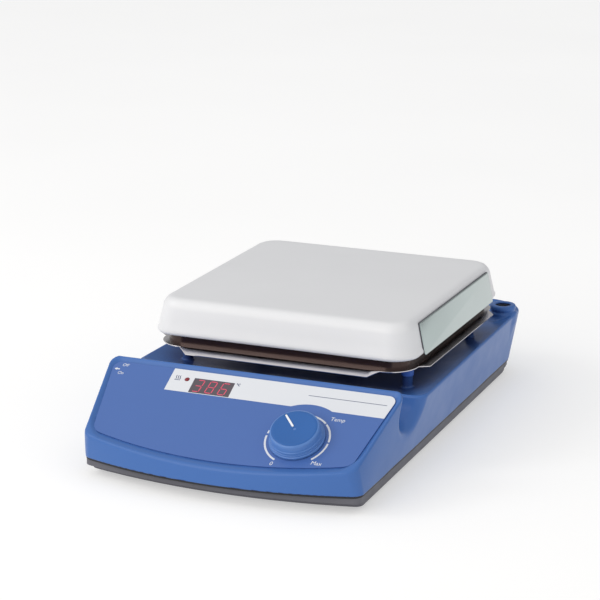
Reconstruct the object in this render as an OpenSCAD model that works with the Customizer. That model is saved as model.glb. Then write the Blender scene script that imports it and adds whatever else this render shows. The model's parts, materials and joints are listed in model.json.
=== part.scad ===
// Laboratory hot plate: cast housing with a sloping control panel, a white
// glass-ceramic hood over a radiant heater, and a moulded base tray.
// Millimetres. +Z up, the control panel faces -Y, origin under the middle.

/* [Housing] */
// Width across the deck's edges
body_w = 194; // [190:1:198]
// Depth from the panel's front edge to the rear wall
body_d = 320; // [318:1:322]
// Height of the joint between housing and tray
parting_z = 11; // [10:0.5:12]
// Height of the deck's outer edge
deck_z = 46; // [45:0.5:47]
// Housing wall thickness
wall = 3; // [2.5:0.25:3.5]
// Radius of the trough between panel and deck
trough_r = 15; // [13:0.5:16]

/* [Panel] */
// Slope of the control panel from level
panel_tilt = 29; // [27:0.5:31]
// Depth of the overlay's recess in the panel
recess_h = 2; // [1.5:0.25:2.5]
// Thickness of the overlay sheet
overlay_t = 0.8; // [0.5:0.1:1.2]

/* [Knob] */
// Radius of the knob's skirt
knob_r = 16.6; // [15:0.2:18]
// Height of the knob
knob_h = 9.4; // [8:0.2:12]
// Angle of the pointer at rest, clockwise from the panel's top
pointer_rest = -43; // [-60:1:0]

/* [Hood] */
// Half width of the hood at its lower rim
hood_rim = 86.6; // [86:0.5:91]
// Half width of the hood's flat top
hood_top = 81.6; // [78:0.5:83]
// Height of the hood's top above the bench
hood_z = 87; // [86:0.5:89]
// Height of the hood's side
hood_h = 22.4; // [21:0.2:23]
// Thickness of the hood's wall
hood_t = 4; // [3:0.5:5]
// Distance of the hood's centre behind the middle of the body
hood_y = 26; // [25:0.5:27]

/* [Support rod boss] */
// Distance of the boss from the middle plane
boss_x = 82.3; // [81.8:0.1:82.5]
// Distance of the boss behind the middle of the body
boss_y = 129; // [127:0.5:131]
// Tapping radius of the M10 hole in the bush
rod_hole_r = 4.25; // [4.2:0.05:4.3]

/* [Hidden] */

front_y = -body_d / 2;
rear_y = body_d / 2;

// plan of the parting line
part_fw = 89;
part_rw = 84;
part_arc = 268;
// plan of the deck's edge
deck_fw = body_w / 2;
deck_rw = deck_fw - 6.5;
deck_front_y = -61;
rear_corner_r = 26;
front_corner_r = 5;

// panel frame: u across, v up the slope, w out of the panel
panel_y = -119.5;
panel_z = 43.5;
panel_top_v = 31.6;
panel_low_v = -45.5;
panel_top_u = 96.2;
panel_low_u = 86.4;
panel_arc = 318;
panel_wall = 3;
overlay_w = -recess_h + overlay_t;
panel_in_w = -recess_h - panel_wall;

knob_u = 44;
knob_v = -14;
window = [-36, 10.5, 26.4, 11.7];
led_at = [-40.5, 20.3];
pot_depth = 8;
board_w = panel_in_w - pot_depth;

trough_y = -76;
dish_h = 5;
ceiling_z = deck_z - dish_h - wall;
post_x = 74;
post_dy = 57;
post_r = 3.8;
post_foot_r = 3.2;
post_collar_z = 48.5;
post_z = 57.2;

tray_z = 3;
tray_floor = 2;
floor_z = tray_z + tray_floor;
case_screws = [[-78, -130], [78, -130], [-72, 118], [66, 104]];
feet_at = [[-58, -130], [58, -130], [-66, 136], [66, 136]];

// power switch on the left wall
switch_y = -104;
switch_z = 25;
switch_x = 90.8;
wall_lean = 9.6;
rocker_tilt = 8;
switch_pin_r = 1.1;

// heater stack
shield_z = 53;
shield_half = 80.5;
shield_rim_z = post_z;
shield_lip = 4;
shield_well = 70;
sheet_t = 0.8;
shield_top = 70;
pan_r = 72;
pan_z = 62;
spring_h = pan_z - shield_z - 0.8;
hood_in_z = hood_z - hood_t;

// power board
pcb = [-68, -34, 128, 118];
pcb_z = 12;
pcb_t = 1.6;
pcb_top = pcb_z + pcb_t;

// mains inlet
inlet_x = -46;
inlet_z = 25;
inlet_y = rear_y - 2.5;

function unit(v) = v / norm(v);
function arc_y(x, r) = r - sqrt(r * r - x * x);
function corner(a, p, b, r, n) =
  r == 0 ? [p] :
  let (
    u = unit(a - p),
    v = unit(b - p),
    half = acos(u * v) / 2,
    c = p + unit(u + v) * r / sin(half),
    s = p + u * r / tan(half) - c,
    e = p + v * r / tan(half) - c,
    a0 = atan2(s[1], s[0]),
    turn = atan2(e[1], e[0]) - a0,
    sweep = turn > 180 ? turn - 360 : turn < -180 ? turn + 360 : turn
  )
  [for (i = [0 : n]) c + r * [cos(a0 + sweep * i / n), sin(a0 + sweep * i / n)]];
function rounded(pts, rad, n = 6) =
  let (k = len(pts))
  [for (i = [0 : k - 1]) each corner(pts[(i + k - 1) % k], pts[i], pts[(i + 1) % k], rad[i], n)];
function front_arc(low, half, r, n = 14) =
  [for (i = [0 : n]) let (x = half * (2 * i / n - 1)) [x, low + arc_y(x, r)]];
function arc_radii(r, n = 14) = [for (i = [0 : n]) i == 0 || i == n ? r : 0];

// outline of the body: curved front, straight sides, rounded rear corners
function body_plan(low, fw, rw, back, r, rf, rr) =
  rounded(concat(front_arc(low, fw, r), [[rw, back], [-rw, back]]),
          concat(arc_radii(rf), [rr, rr]));
function part_plan(inset) =
  body_plan(front_y + inset, part_fw - inset, part_rw - inset, rear_y - inset,
            part_arc, front_corner_r, rear_corner_r);
// outline of the panel in its own plane
function panel_plan(side, low, top, rf, rt) =
  rounded(concat(front_arc(panel_low_v + low, panel_low_u - side, panel_arc),
                 [[panel_top_u - side, panel_top_v - top], [-panel_top_u + side, panel_top_v - top]]),
          concat(arc_radii(rf), [rt, rt]));
function deck_plan(inset, low) =
  rounded([[-deck_fw + inset, low], [deck_fw - inset, low],
           [deck_rw - inset, rear_y - inset], [-deck_rw + inset, rear_y - inset]],
          [4, 4, rear_corner_r, rear_corner_r]);
function square_plan(half, r) =
  rounded([[-half, -half], [half, -half], [half, half], [-half, half]], [r, r, r, r], 8);

module on_panel(w = 0) {
  translate([0, panel_y, panel_z]) rotate([panel_tilt, 0, 0]) translate([0, 0, w]) children();
}
module on_switch() {
  translate([-switch_x, switch_y, switch_z]) rotate([0, -90 - wall_lean, 0]) rotate([0, 0, 90]) children();
}
module slab(x, y, z, dx, dy, dz) {
  translate([x, y, z]) cube([dx, dy, dz]);
}
module rod(x, y, z, r, h) {
  translate([x, y, z]) cylinder(h = h, r = r, $fn = 32);
}
module soft_slab(x, y, z, r, h) {
  translate([0, 0, z]) linear_extrude(h)
    polygon(rounded([[-x, -y], [x, -y], [x, y], [-x, y]], [r, r, r, r], 4));
}
// pan-head screw along +Z: head below z = 0, thread above
module screw(r, length, head_r, head_h) {
  union() {
    cylinder(h = length, r = r, $fn = 24);
    difference() {
      translate([0, 0, -head_h]) cylinder(h = head_h, r = head_r, $fn = 28);
      translate([-head_r * 0.55, -0.4, -head_h - 0.1]) cube([head_r * 1.1, 0.8, head_h * 0.5]);
      translate([-0.4, -head_r * 0.55, -head_h - 0.1]) cube([0.8, head_r * 1.1, head_h * 0.5]);
    }
  }
}
// round lead through a list of points
module lead(pts, r, side = [0, 0, 1], sides = 8) {
  n = len(pts);
  rings = [for (i = [0 : n - 1])
    let (
      t = unit(pts[min(i + 1, n - 1)] - pts[max(i - 1, 0)]),
      a = unit(cross(t, side)),
      b = cross(t, a)
    )
    each [for (k = [0 : sides - 1]) pts[i] + r * (a * cos(360 * k / sides) + b * sin(360 * k / sides))]];
  skin = [for (i = [0 : n - 2]) each [for (k = [0 : sides - 1])
    [i * sides + k, i * sides + (k + 1) % sides, (i + 1) * sides + (k + 1) % sides, (i + 1) * sides + k]]];
  start = [[for (k = [0 : sides - 1]) sides - 1 - k]];
  finish = [[for (k = [0 : sides - 1]) (n - 1) * sides + k]];
  polyhedron(points = rings, faces = concat(skin, start, finish), convexity = 6);
}
// smooth route: three straight legs whose corners are rounded by a curve
function bend(a, b, c, n = 5) =
  [for (i = [0 : n]) let (t = i / n) a * (1 - t) * (1 - t) + b * 2 * t * (1 - t) + c * t * t];
function route(p, k = 0.35) =
  concat([p[0]],
    [for (i = [1 : len(p) - 2])
      each bend(p[i] + (p[i - 1] - p[i]) * k, p[i], p[i] + (p[i + 1] - p[i]) * k)],
    [p[len(p) - 1]]);

module housing_outer() {
  // panel block
  hull() {
    on_panel(-2) linear_extrude(2) polygon(panel_plan(0, 0, 0, 9, 8));
    translate([0, 0, parting_z]) linear_extrude(1) intersection() {
      polygon(part_plan(0));
      translate([-120, -200]) square([240, 112]);
    }
  }
  // deck block
  hull() {
    translate([0, 0, deck_z - 2]) linear_extrude(2) polygon(deck_plan(0, -90));
    translate([0, 0, parting_z]) linear_extrude(1) intersection() {
      polygon(part_plan(0));
      translate([-120, -92]) square([240, 300]);
    }
  }
}
// raised boss for the support rod, blended into the wall below
module boss() {
  translate([boss_x, boss_y, deck_z - 20]) cylinder(h = 12, r1 = 2, r2 = 8.2, $fn = 48);
  rod(boss_x, boss_y, deck_z - 8, 8.2, 9);
  rod(boss_x, boss_y, deck_z, 7.7, 4);
  rod(boss_x, boss_y, deck_z + 2.4, 8.2, 3.6);
}
module housing_inner() {
  difference() {
    union() {
      hull() {
        on_panel(panel_in_w - 1) linear_extrude(1) polygon(panel_plan(wall + 1, wall + 5, wall + 2, 6, 6));
        translate([0, 0, parting_z - 1]) linear_extrude(1) intersection() {
          polygon(part_plan(wall));
          translate([-120, -200]) square([240, 116]);
        }
      }
      hull() {
        translate([0, 0, ceiling_z - 1]) linear_extrude(1) polygon(deck_plan(wall + 5, -90));
        translate([0, 0, parting_z - 1]) linear_extrude(1) intersection() {
          polygon(part_plan(wall));
          translate([-120, -96]) square([240, 300]);
        }
      }
    }
    translate([-120, trough_y, deck_z]) rotate([0, 90, 0]) cylinder(h = 240, r = trough_r + wall, $fn = 48);
    slab(-120, trough_y - trough_r - wall, deck_z - 12, 240, 4, 30);
  }
}
module upper_housing() {
  color("royalblue") difference() {
    union() {
      difference() {
        housing_outer();
        housing_inner();
        // dished deck
        hull() {
          translate([0, 0, deck_z + 0.01]) linear_extrude(1) polygon(deck_plan(3, deck_front_y + 4));
          translate([0, 0, deck_z - dish_h]) linear_extrude(1) polygon(deck_plan(16, deck_front_y + 14));
        }
      }
      boss();
      // posts that carry the heat shield
      for (x = [-post_x, post_x], y = [hood_y - post_dy, hood_y + post_dy]) {
        rod(x, y, ceiling_z, post_foot_r, post_collar_z - ceiling_z);
        rod(x, y, post_collar_z, post_r, post_z - post_collar_z);
      }
      // screw pillars down to the tray
      for (p = case_screws) rod(p[0], p[1], parting_z + 4, 4.5, p[1] < 0 ? 17.5 : 24);
      // pad behind the mains inlet's flange
      slab(inlet_x - 27, rear_y - 7, inlet_z - 11.2, 54, 6, 23.7);
      // pillars behind the panel for the control board
      for (u = [-54, 62], v = [-24, 13]) on_panel(board_w) rod(u, v, 0, 3, pot_depth + 1);
    }
    // trough between panel and deck
    translate([-120, trough_y, deck_z]) rotate([0, 90, 0]) cylinder(h = 240, r = trough_r, $fn = 48);
    slab(-120, trough_y - trough_r, deck_z, 240, 2 * trough_r, 30);
    // overlay recess and openings in the panel
    on_panel(-recess_h) linear_extrude(20) polygon(panel_plan(3.6, 6, 3.6, 8, 5));
    on_panel(-12) slab(window[0] + 1.2, window[1] + 1.2, 0, window[2] - 2.4, window[3] - 2.4, 12);
    on_panel(-12) rod(led_at[0], led_at[1], 0, 1.8, 12);
    on_panel(-12) rod(knob_u, knob_v, 0, 4.8, 12);
    // power switch opening
    on_switch() translate([-9.7, -6.6, -14]) cube([19.4, 13.2, 20]);
    // support rod bush
    rod(boss_x, boss_y, deck_z - 12, 6, 16.6);
    rod(boss_x, boss_y, deck_z - 12, 5.1, 30);
    // post threads and case screw threads
    for (x = [-post_x, post_x], y = [hood_y - post_dy, hood_y + post_dy])
      rod(x, y, post_z - 10, 1.7, 12);
    for (p = case_screws) rod(p[0], p[1], parting_z, 1.4, 14);
    for (u = [-54, 62], v = [-24, 13]) on_panel(board_w - 1) rod(u, v, 0, 1.1, 7);
    // hole for the heater leads
    rod(0, hood_y + 30, ceiling_z - 2, 8, 12);
    // mains inlet: flange recess, body and screw holes
    slab(inlet_x - 25.3, inlet_y, inlet_z - 11.3, 50.6, 10, 22.6);
    slab(inlet_x - 14.4, inlet_y - 20, inlet_z - 10.2, 28.8, 25, 20.4);
    for (s = [-20, 20]) translate([inlet_x + s, inlet_y - 6, inlet_z])
      rotate([-90, 0, 0]) cylinder(h = 10, r = 1.2, $fn = 20);
    // ventilation slots in the rear wall
    for (i = [0 : 7]) slab(8 + i * 7, rear_y - 10, 18, 3, 20, 14);
  }
}
module tray_plan(low, inset) {
  polygon(body_plan(low, part_fw - inset, part_rw - inset, rear_y - inset, part_arc * 1.3,
                    front_corner_r, rear_corner_r));
}
module base_tray() {
  color("dimgray") difference() {
    union() {
      translate([0, 0, tray_z + 3.6]) linear_extrude(parting_z - 0.6 - tray_z - 3.6) tray_plan(front_y + 4, 1);
      translate([0, 0, tray_z]) linear_extrude(4) tray_plan(front_y + 10, 2.4);
      translate([0, 0, floor_z]) linear_extrude(8.5) tray_plan(front_y + 10, wall + 1.4);
    }
    difference() {
      translate([0, 0, floor_z]) linear_extrude(20) tray_plan(front_y + 13, wall + 3.4);
      for (p = case_screws) rod(p[0], p[1], 0, 5, parting_z + 3.9);
      for (x = [pcb[0] + 5, pcb[0] + pcb[2] - 5], y = [pcb[1] + 5, pcb[1] + pcb[3] - 5])
        rod(x, y, 0, 3.2, pcb_z);
      slab(-40, -70, 0, 80, 2, floor_z + 4);
      slab(-40, 98, 0, 80, 2, floor_z + 4);
    }
    for (p = case_screws) {
      rod(p[0], p[1], 0, 3.1, floor_z + 3);
      rod(p[0], p[1], 0, 1.7, 30);
    }
    for (p = feet_at) rod(p[0], p[1], 0, 8.2, tray_z + 1.2);
    for (x = [pcb[0] + 5, pcb[0] + pcb[2] - 5], y = [pcb[1] + 5, pcb[1] + pcb[3] - 5])
      rod(x, y, floor_z + 1, 1.2, 20);
    for (i = [0 : 9]) slab(-47 + i * 10, -60, -1, 4, 22, 20);
  }
}
module rubber_feet() {
  color("black") for (p = feet_at) translate([p[0], p[1], 0]) rotate_extrude($fn = 40)
    polygon([[0, 0], [6.6, 0], [7.4, 0.8], [8, tray_z + 1.2], [0, tray_z + 1.2]]);
}
module base_screws() {
  color("silver") for (p = case_screws) translate([p[0], p[1], floor_z + 3]) screw(1.35, 16, 2.9, 2.2);
}

module panel_overlay() {
  color("cornflowerblue") on_panel(-recess_h) difference() {
    linear_extrude(overlay_t) polygon(panel_plan(3.8, 6.2, 3.8, 8, 5));
    slab(window[0], window[1], -1, window[2], window[3], 4);
    rod(led_at[0], led_at[1], -1, 1.6, 4);
    rod(knob_u, knob_v, -1, 4.8, 4);
  }
}
module display_window() {
  color("maroon") on_panel(-recess_h)
    slab(window[0] + 0.1, window[1] + 0.1, 0, window[2] - 0.2, window[3] - 0.2, overlay_t);
}
module display_module() {
  color("dimgray") on_panel(board_w) difference() {
    union() {
      slab(window[0] + 1.7, window[1] - 0.5, 2.2, window[2] - 3.4, window[3] + 1, pot_depth - 2.4);
      slab(window[0] + 1.7, window[1] - 0.5, 0, window[2] - 3.4, 6, 3);
    }
    for (i = [0 : 2]) slab(window[0] + 3.2 + i * 7, window[1] + 2, pot_depth - 0.8, 5.4, 7.6, 2);
  }
}
module indicator_led() {
  color("red") on_panel(board_w) union() {
    rod(led_at[0], led_at[1], 2.5, 1.45, pot_depth + panel_wall + overlay_t - 2.9);
    rod(led_at[0], led_at[1], 2.5, 1.9, 3);
    slab(led_at[0] - 0.8, led_at[1] - 6, 2.5, 1.6, 6, 1);
    slab(led_at[0] - 0.8, led_at[1] - 6, 0, 1.6, 1, 3);
  }
}
module knob_profile() {
  polygon([[3.05, 3.6], [8.5, 3.6], [8.5, 0.4], [knob_r - 0.4, 0.4], [knob_r, 0.9], [knob_r, 2.2],
           [knob_r - 0.9, 2.8], [knob_r - 1.5, knob_h - 2.2], [knob_r - 2.7, knob_h - 0.3],
           [knob_r - 3.2, knob_h], [0, knob_h], [0, knob_h - 1.6], [3.05, knob_h - 1.6]]);
}
module knob() {
  color("steelblue") on_panel(overlay_w) translate([knob_u, knob_v, 0]) difference() {
    rotate_extrude($fn = 72) knob_profile();
    rotate([0, 0, -pointer_rest]) slab(-0.55, 1.5, knob_h - 0.4, 1.1, knob_r - 5, 1);
  }
}
module pot_shaft() {
  color("silver") on_panel(0)
    rod(knob_u, knob_v, panel_in_w - 1.5, 3, overlay_w + knob_h - 1.7 - panel_in_w + 1.5);
}
module potentiometer() {
  color("olivedrab") on_panel(0) difference() {
    union() {
      slab(knob_u - 8, knob_v - 8, board_w, 16, 16, pot_depth - 0.1);
      rod(knob_u, knob_v, panel_in_w - 0.1, 4.4, overlay_w - panel_in_w + 3);
    }
    rod(knob_u, knob_v, panel_in_w - 2, 3.06, 30);
  }
}
module pot_nut() {
  color("silver") on_panel(overlay_w) translate([knob_u, knob_v, 0]) difference() {
    union() {
      cylinder(h = 0.6, r = 7, $fn = 36);
      translate([0, 0, 0.6]) cylinder(h = 2, r = 6.4, $fn = 6);
    }
    translate([0, 0, -1]) cylinder(h = 5, r = 4.45, $fn = 32);
  }
}
module control_board() {
  color("darkgreen") on_panel(board_w - pcb_t) difference() {
    union() {
      slab(-60, -29, 0, 127, 47, pcb_t);
      slab(-10, -26, -2.4, 12, 12, 2.4);
      slab(10, -6, -1.6, 9, 6, 1.6);
      slab(-34, -8, -1.6, 9, 6, 1.6);
      for (i = [0 : 5]) slab(-52 + i * 6, -22, -0.8, 3, 1.6, 0.8);
    }
    for (u = [-54, 62], v = [-24, 13]) rod(u, v, -1, 1.4, 5);
  }
}
module control_board_screws() {
  color("silver") for (u = [-54, 62], v = [-24, 13])
    on_panel(board_w - pcb_t) translate([u, v, 0]) screw(1.05, 6, 2.2, 1.6);
}

module switch_body() {
  color("black") on_switch() difference() {
    union() {
      soft_slab(10.7, 7.6, 0.2, 1.6, 1.8);
      soft_slab(9.5, 6.4, -11.5, 0.8, 12);
    }
    translate([-8.4, -5.4, -6.5]) cube([16.8, 10.8, 20]);
  }
  // pin that the rocker turns on
  color("black") on_switch() translate([0, 5.6, 0]) rotate([90, 0, 0])
    cylinder(h = 11.2, r = switch_pin_r, $fn = 24);
}
module switch_rocker() {
  // pressed in at its front end: on
  color("black") on_switch() rotate([0, -rocker_tilt, 0]) difference() {
    rotate([90, 0, 0]) translate([0, 0, -5.1]) linear_extrude(10.2)
      polygon([[-7.9, 1.2], [-8, 2.6], [-5, 3.4], [0, 2.5], [5, 3.4], [8, 2.6], [7.9, 1.2],
               [2, -4.6], [-2, -4.6]]);
    rotate([90, 0, 0]) translate([0, 0, -6]) cylinder(h = 12, r = switch_pin_r + 0.08, $fn = 24);
  }
}
module switch_terminals() {
  color("gold") on_switch() for (x = [-5, 5], y = [-3.6, 2.8]) slab(x - 2.4, y, -19.5, 4.8, 0.8, 8);
}

module rod_bush() {
  color("gainsboro") difference() {
    rod(boss_x, boss_y, deck_z - 11.9, 5.9, 16.4);
    rod(boss_x, boss_y, deck_z - 10, rod_hole_r, 30);
  }
}

module hood_solid(half_low, half_top, z0, z1, r_low, r_top) {
  translate([0, hood_y, 0]) hull() {
    translate([0, 0, z0]) linear_extrude(0.6) polygon(square_plan(half_low, r_low));
    translate([0, 0, z1 - 2.2]) linear_extrude(0.1) polygon(square_plan(half_top + 1, r_top + 1));
    translate([0, 0, z1 - 0.7]) linear_extrude(0.1) polygon(square_plan(half_top - 0.4, r_top));
    translate([0, 0, z1 - 0.1]) linear_extrude(0.1) polygon(square_plan(half_top - 2, r_top - 1.5));
  }
}
module heating_plate() {
  low = hood_z - hood_h;
  color("whitesmoke") difference() {
    hood_solid(hood_rim, hood_top, low, hood_z, 16, 13);
    hood_solid(hood_rim - hood_t, hood_top - hood_t, low - 1, hood_in_z, 12, 9);
  }
}
// slanting glass plate on the hood's side, standing a little proud of it
module side_panel(side) {
  lean = atan((hood_rim - hood_top - 1) / (hood_h - 2.8));
  color("lightgray") translate([side * hood_rim, hood_y, hood_z - hood_h])
    rotate([0, -side * lean, 0]) translate([side > 0 ? 0.2 : -1.2, -63, -0.6]) cube([1, 128, 20]);
}
module side_panel_right() { side_panel(1); }
module side_panel_left() { side_panel(-1); }
module hood_seal() {
  color("lightgray") translate([0, hood_y, shield_top]) linear_extrude(2.4) difference() {
    polygon(square_plan(shield_half, 12));
    polygon(square_plan(shield_half - 3, 9));
  }
}
module heat_shield() {
  color("silver") difference() {
    union() {
      translate([0, hood_y, shield_rim_z]) linear_extrude(shield_top - shield_rim_z) difference() {
        polygon(square_plan(shield_half, 14));
        polygon(square_plan(shield_half - sheet_t, 13.2));
      }
      translate([0, hood_y, shield_rim_z]) linear_extrude(sheet_t) difference() {
        polygon(square_plan(shield_half + shield_lip, 14 + shield_lip));
        polygon(square_plan(shield_well - sheet_t, 9.2));
      }
      translate([0, hood_y, shield_z]) linear_extrude(shield_rim_z + sheet_t - shield_z) difference() {
        polygon(square_plan(shield_well, 10));
        polygon(square_plan(shield_well - sheet_t, 9.2));
      }
      translate([0, hood_y, shield_z]) linear_extrude(sheet_t) polygon(square_plan(shield_well, 10));
      // four sloping tabs at mid side
      for (a = [0 : 90 : 270]) translate([0, hood_y, 0]) rotate([0, 0, a])
        translate([0, -shield_half - shield_lip, shield_rim_z + sheet_t]) rotate([22, 0, 0])
          translate([0, 0, -sheet_t]) linear_extrude(sheet_t)
            polygon([[-66.4, 0.4], [66.4, 0.4], [60, -5.8], [-60, -5.8]]);
    }
    for (x = [-post_x, post_x], y = [hood_y - post_dy, hood_y + post_dy])
      rod(x, y, shield_rim_z - 1, 2.2, 4);
    rod(0, hood_y + 30, shield_z - 1, 8, 4);
    for (a = [0 : 60 : 300]) translate([0, hood_y, 0]) rotate([0, 0, a]) rod(42, 0, shield_z - 1, 6, 4);
  }
}
module shield_screws() {
  color("silver") for (x = [-post_x, post_x], y = [hood_y - post_dy, hood_y + post_dy])
    translate([x, y, shield_rim_z + sheet_t]) rotate([180, 0, 0]) screw(1.65, 8, 3.2, 2.2);
}
module heater_pan() {
  color("silver") translate([0, hood_y, pan_z]) rotate_extrude($fn = 96)
    polygon([[0, 0], [pan_r, 0], [pan_r, 20.9], [pan_r - 0.8, 20.9], [pan_r - 0.8, 0.8], [0, 0.8]]);
}
module heater_insulation() {
  color("antiquewhite") translate([0, hood_y, pan_z + 0.9]) rotate_extrude($fn = 96)
    polygon([[0, 0], [pan_r - 1, 0], [pan_r - 1, 19.8], [pan_r - 9, 19.8], [pan_r - 10.5, 13.5], [0, 13.5]]);
}
module heating_coil() {
  color("darkorange") translate([0, hood_y, pan_z + 14.4]) union() {
    for (r = [12 : 8 : 60]) rotate([0, 0, 90]) rotate_extrude(angle = 344, $fn = 72)
      translate([r, 1.3]) square([2.2, 2.6], center = true);
    for (r = [12 : 8 : 52]) slab(-1.3, r - 1, 0, 2.6, 9, 2.6);
  }
}
module heater_springs() {
  color("slategray") for (a = [0 : 90 : 270]) translate([0, hood_y, 0]) rotate([0, 0, a])
    translate([58, 6, shield_z + 0.8]) rotate([90, 0, 0]) linear_extrude(12)
      polygon([[-8, 0], [4, 0], [4, 0.8], [3.2, 0.8], [-1.2, spring_h - 1], [-1.2, spring_h],
               [-9, spring_h], [-9, spring_h - 0.8], [-2.2, spring_h - 0.8], [2, 0.8], [-8, 0.8]]);
}
module heater_terminals() {
  color("ivory") translate([0, hood_y + 30, shield_z + 0.8]) difference() {
    slab(-12, 8.2, 0, 24, 8, 8);
    for (x = [-6, 6]) translate([x, 12, 3]) cylinder(h = 10, r = 2, $fn = 24);
  }
}
module plate_sensor() {
  color("silver") rod(0, hood_y, pan_z + 14.4, 4, hood_in_z - pan_z - 14.4);
}
module safety_sensor() {
  color("gainsboro") translate([-38, hood_y - 62, 0]) union() {
    rod(0, 0, shield_z + 0.8, 7, 5.5);
    slab(-12, -2.5, shield_z + 0.8, 24, 5, 1);
  }
}
module lead_grommet() {
  color("black") translate([0, hood_y + 30, 0]) rotate_extrude($fn = 40) union() {
    translate([5, ceiling_z - 2]) square([2.8, wall + 4]);
    translate([5, deck_z - dish_h + 0.1]) square([4.6, 1.9]);
    translate([5, ceiling_z - 2]) square([4.6, 1.9]);
  }
}

module power_board() {
  color("darkgreen") difference() {
    slab(pcb[0], pcb[1], pcb_z, pcb[2], pcb[3], pcb_t);
    for (x = [pcb[0] + 5, pcb[0] + pcb[2] - 5], y = [pcb[1] + 5, pcb[1] + pcb[3] - 5])
      rod(x, y, pcb_z - 1, 1.6, 4);
  }
}
module power_board_screws() {
  color("silver") for (x = [pcb[0] + 5, pcb[0] + pcb[2] - 5], y = [pcb[1] + 5, pcb[1] + pcb[3] - 5])
    translate([x, y, pcb_top]) rotate([180, 0, 0]) screw(1.15, 5, 2.6, 1.8);
}
module transformer() {
  color("darkgoldenrod") union() {
    slab(-60, 20, pcb_top, 40, 34, 20);
    slab(-54, 14, pcb_top + 3, 28, 46, 14);
  }
}
module relays() {
  color("royalblue") for (y = [-26, -8]) slab(-60, y, pcb_top, 28, 12.5, 15.5);
}
module triac() {
  color("black") union() {
    slab(27, 51, pcb_top + 6, 10, 4.4, 13);
    for (i = [0 : 2]) slab(28.4 + i * 3, 53, pcb_top, 1.2, 0.8, 6.5);
  }
}
module triac_heatsink() {
  color("silver") union() {
    slab(12, 55.6, pcb_top, 40, 3, 22);
    for (i = [0 : 6]) slab(12 + i * 6.2, 58.6, pcb_top, 1.6, 14, 22);
  }
}
module fuse_clips() {
  color("silver") for (x = [0, 14], y = [-20, -4]) difference() {
    slab(x - 3.4, y, pcb_top, 6.8, 5, 8);
    translate([x, y - 1, pcb_top + 5]) rotate([-90, 0, 0]) cylinder(h = 8, r = 2.6, $fn = 28);
    slab(x - 1.8, y - 1, pcb_top + 5, 3.6, 8, 6);
  }
}
module fuses() {
  color("lightcyan") for (x = [0, 14]) translate([x, -21, pcb_top + 5])
    rotate([-90, 0, 0]) cylinder(h = 22, r = 2.5, $fn = 28);
}
module terminal_block() {
  color("seagreen") difference() {
    slab(-62, 84 - pcb_t - 16, pcb_top, 30, 9, 11);
    for (i = [0 : 3]) rod(-58 + i * 7.4, 84 - pcb_t - 11.5, pcb_top + 3, 1.9, 20);
  }
}
module board_capacitors() {
  color("gold") union() {
    slab(32, -22, pcb_top, 18, 8, 14);
    rod(4, 26, pcb_top, 6, 17);
    rod(20, 26, pcb_top, 4, 11);
    rod(32, 24, pcb_top, 4, 11);
  }
}
module board_sockets() {
  color("white") union() {
    slab(-12, -32, pcb_top, 22, 6, 8);
    on_panel(board_w - pcb_t) slab(-12, -8, -7, 22, 6, 7);
  }
}
// flat cable from the control board back to the power board
module ribbon_cable() {
  sock = [0, -29, pcb_top + 8];
  color("gray") translate([10, 0, 0]) rotate([90, 0, -90]) linear_extrude(20)
    polygon([for (p = concat(ribbon_line(0),
                             [for (i = [len(ribbon_line(0)) - 1 : -1 : 0]) ribbon_line(0.9)[i]])) p]);
}
// y and z of the ribbon's lower face; t lifts it by the cable's thickness
function ribbon_line(t) = concat(
  bend([113.6, 20.6 + t], [106, 10 + t], [86, 14.5 + t], 8),
  bend([70, 18 + t], [46, 27 + t], [28, 21.8 + t], 8));

module mains_inlet() {
  color("black") translate([inlet_x, inlet_y, inlet_z]) difference() {
    union() {
      rotate([90, 0, 0]) translate([0, 0, -2.4]) linear_extrude(2.4)
        polygon(rounded([[-25, -11], [25, -11], [25, 11], [-25, 11]], [1, 1, 1, 1], 4));
      slab(-14.2, -19, -10, 28.4, 19.2, 20);
    }
    translate([0, 4, 0]) rotate([90, 0, 0]) linear_extrude(20.5)
      polygon([[-12, -8.25], [12, -8.25], [12, 4.2], [8, 8.25], [-8, 8.25], [-12, 4.2]]);
    for (s = [-20, 20]) {
      translate([s, -1, 0]) rotate([-90, 0, 0]) cylinder(h = 5, r = 1.6, $fn = 24);
      translate([s, 1.4, 0]) rotate([-90, 0, 0]) cylinder(h = 5, r = 2.6, $fn = 28);
    }
    for (p = [[-7, -2], [0, 2], [7, -2]]) translate([p[0] - 1.1, -25, p[1] - 2.1]) cube([2.2, 12, 4.2]);
  }
}
module inlet_pins() {
  color("silver") translate([inlet_x, inlet_y, inlet_z])
    for (p = [[-7, -2], [0, 2], [7, -2]]) translate([p[0] - 1, -27, p[1] - 2]) cube([2, 25, 4]);
}
module inlet_screws() {
  color("silver") for (s = [-20, 20])
    translate([inlet_x + s, inlet_y + 1.4, inlet_z]) rotate([90, 0, 0]) screw(1.15, 7, 2.3, 0.9);
}
module earth_stud() {
  color("goldenrod") translate([-66, 92, floor_z]) union() {
    cylinder(h = 12, r = 2.5, $fn = 28);
    cylinder(h = 1.2, r = 5, $fn = 32);
    translate([0, 0, 1.2]) cylinder(h = 3.2, r = 4.6, $fn = 6);
  }
}
module inlet_wires() {
  color("sienna") union() {
    lead(route([[inlet_x - 7, inlet_y - 27.2, inlet_z - 2], [inlet_x - 7, 116, inlet_z - 2], [-76, 108, 20],
                [-77, 40, 19], [-77, -60, 19], [-68, -84, 21], [-69, -98.6, 21.4]]), 1.4);
    lead(route([[inlet_x + 7, inlet_y - 27.2, inlet_z - 2], [inlet_x + 7, 108, inlet_z], [-43.2, 88, 34],
                [-43.2, 71, 34], [-43.2, 70.9, 24.8]]), 1.3, [1, 0, 0]);
  }
}
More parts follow.
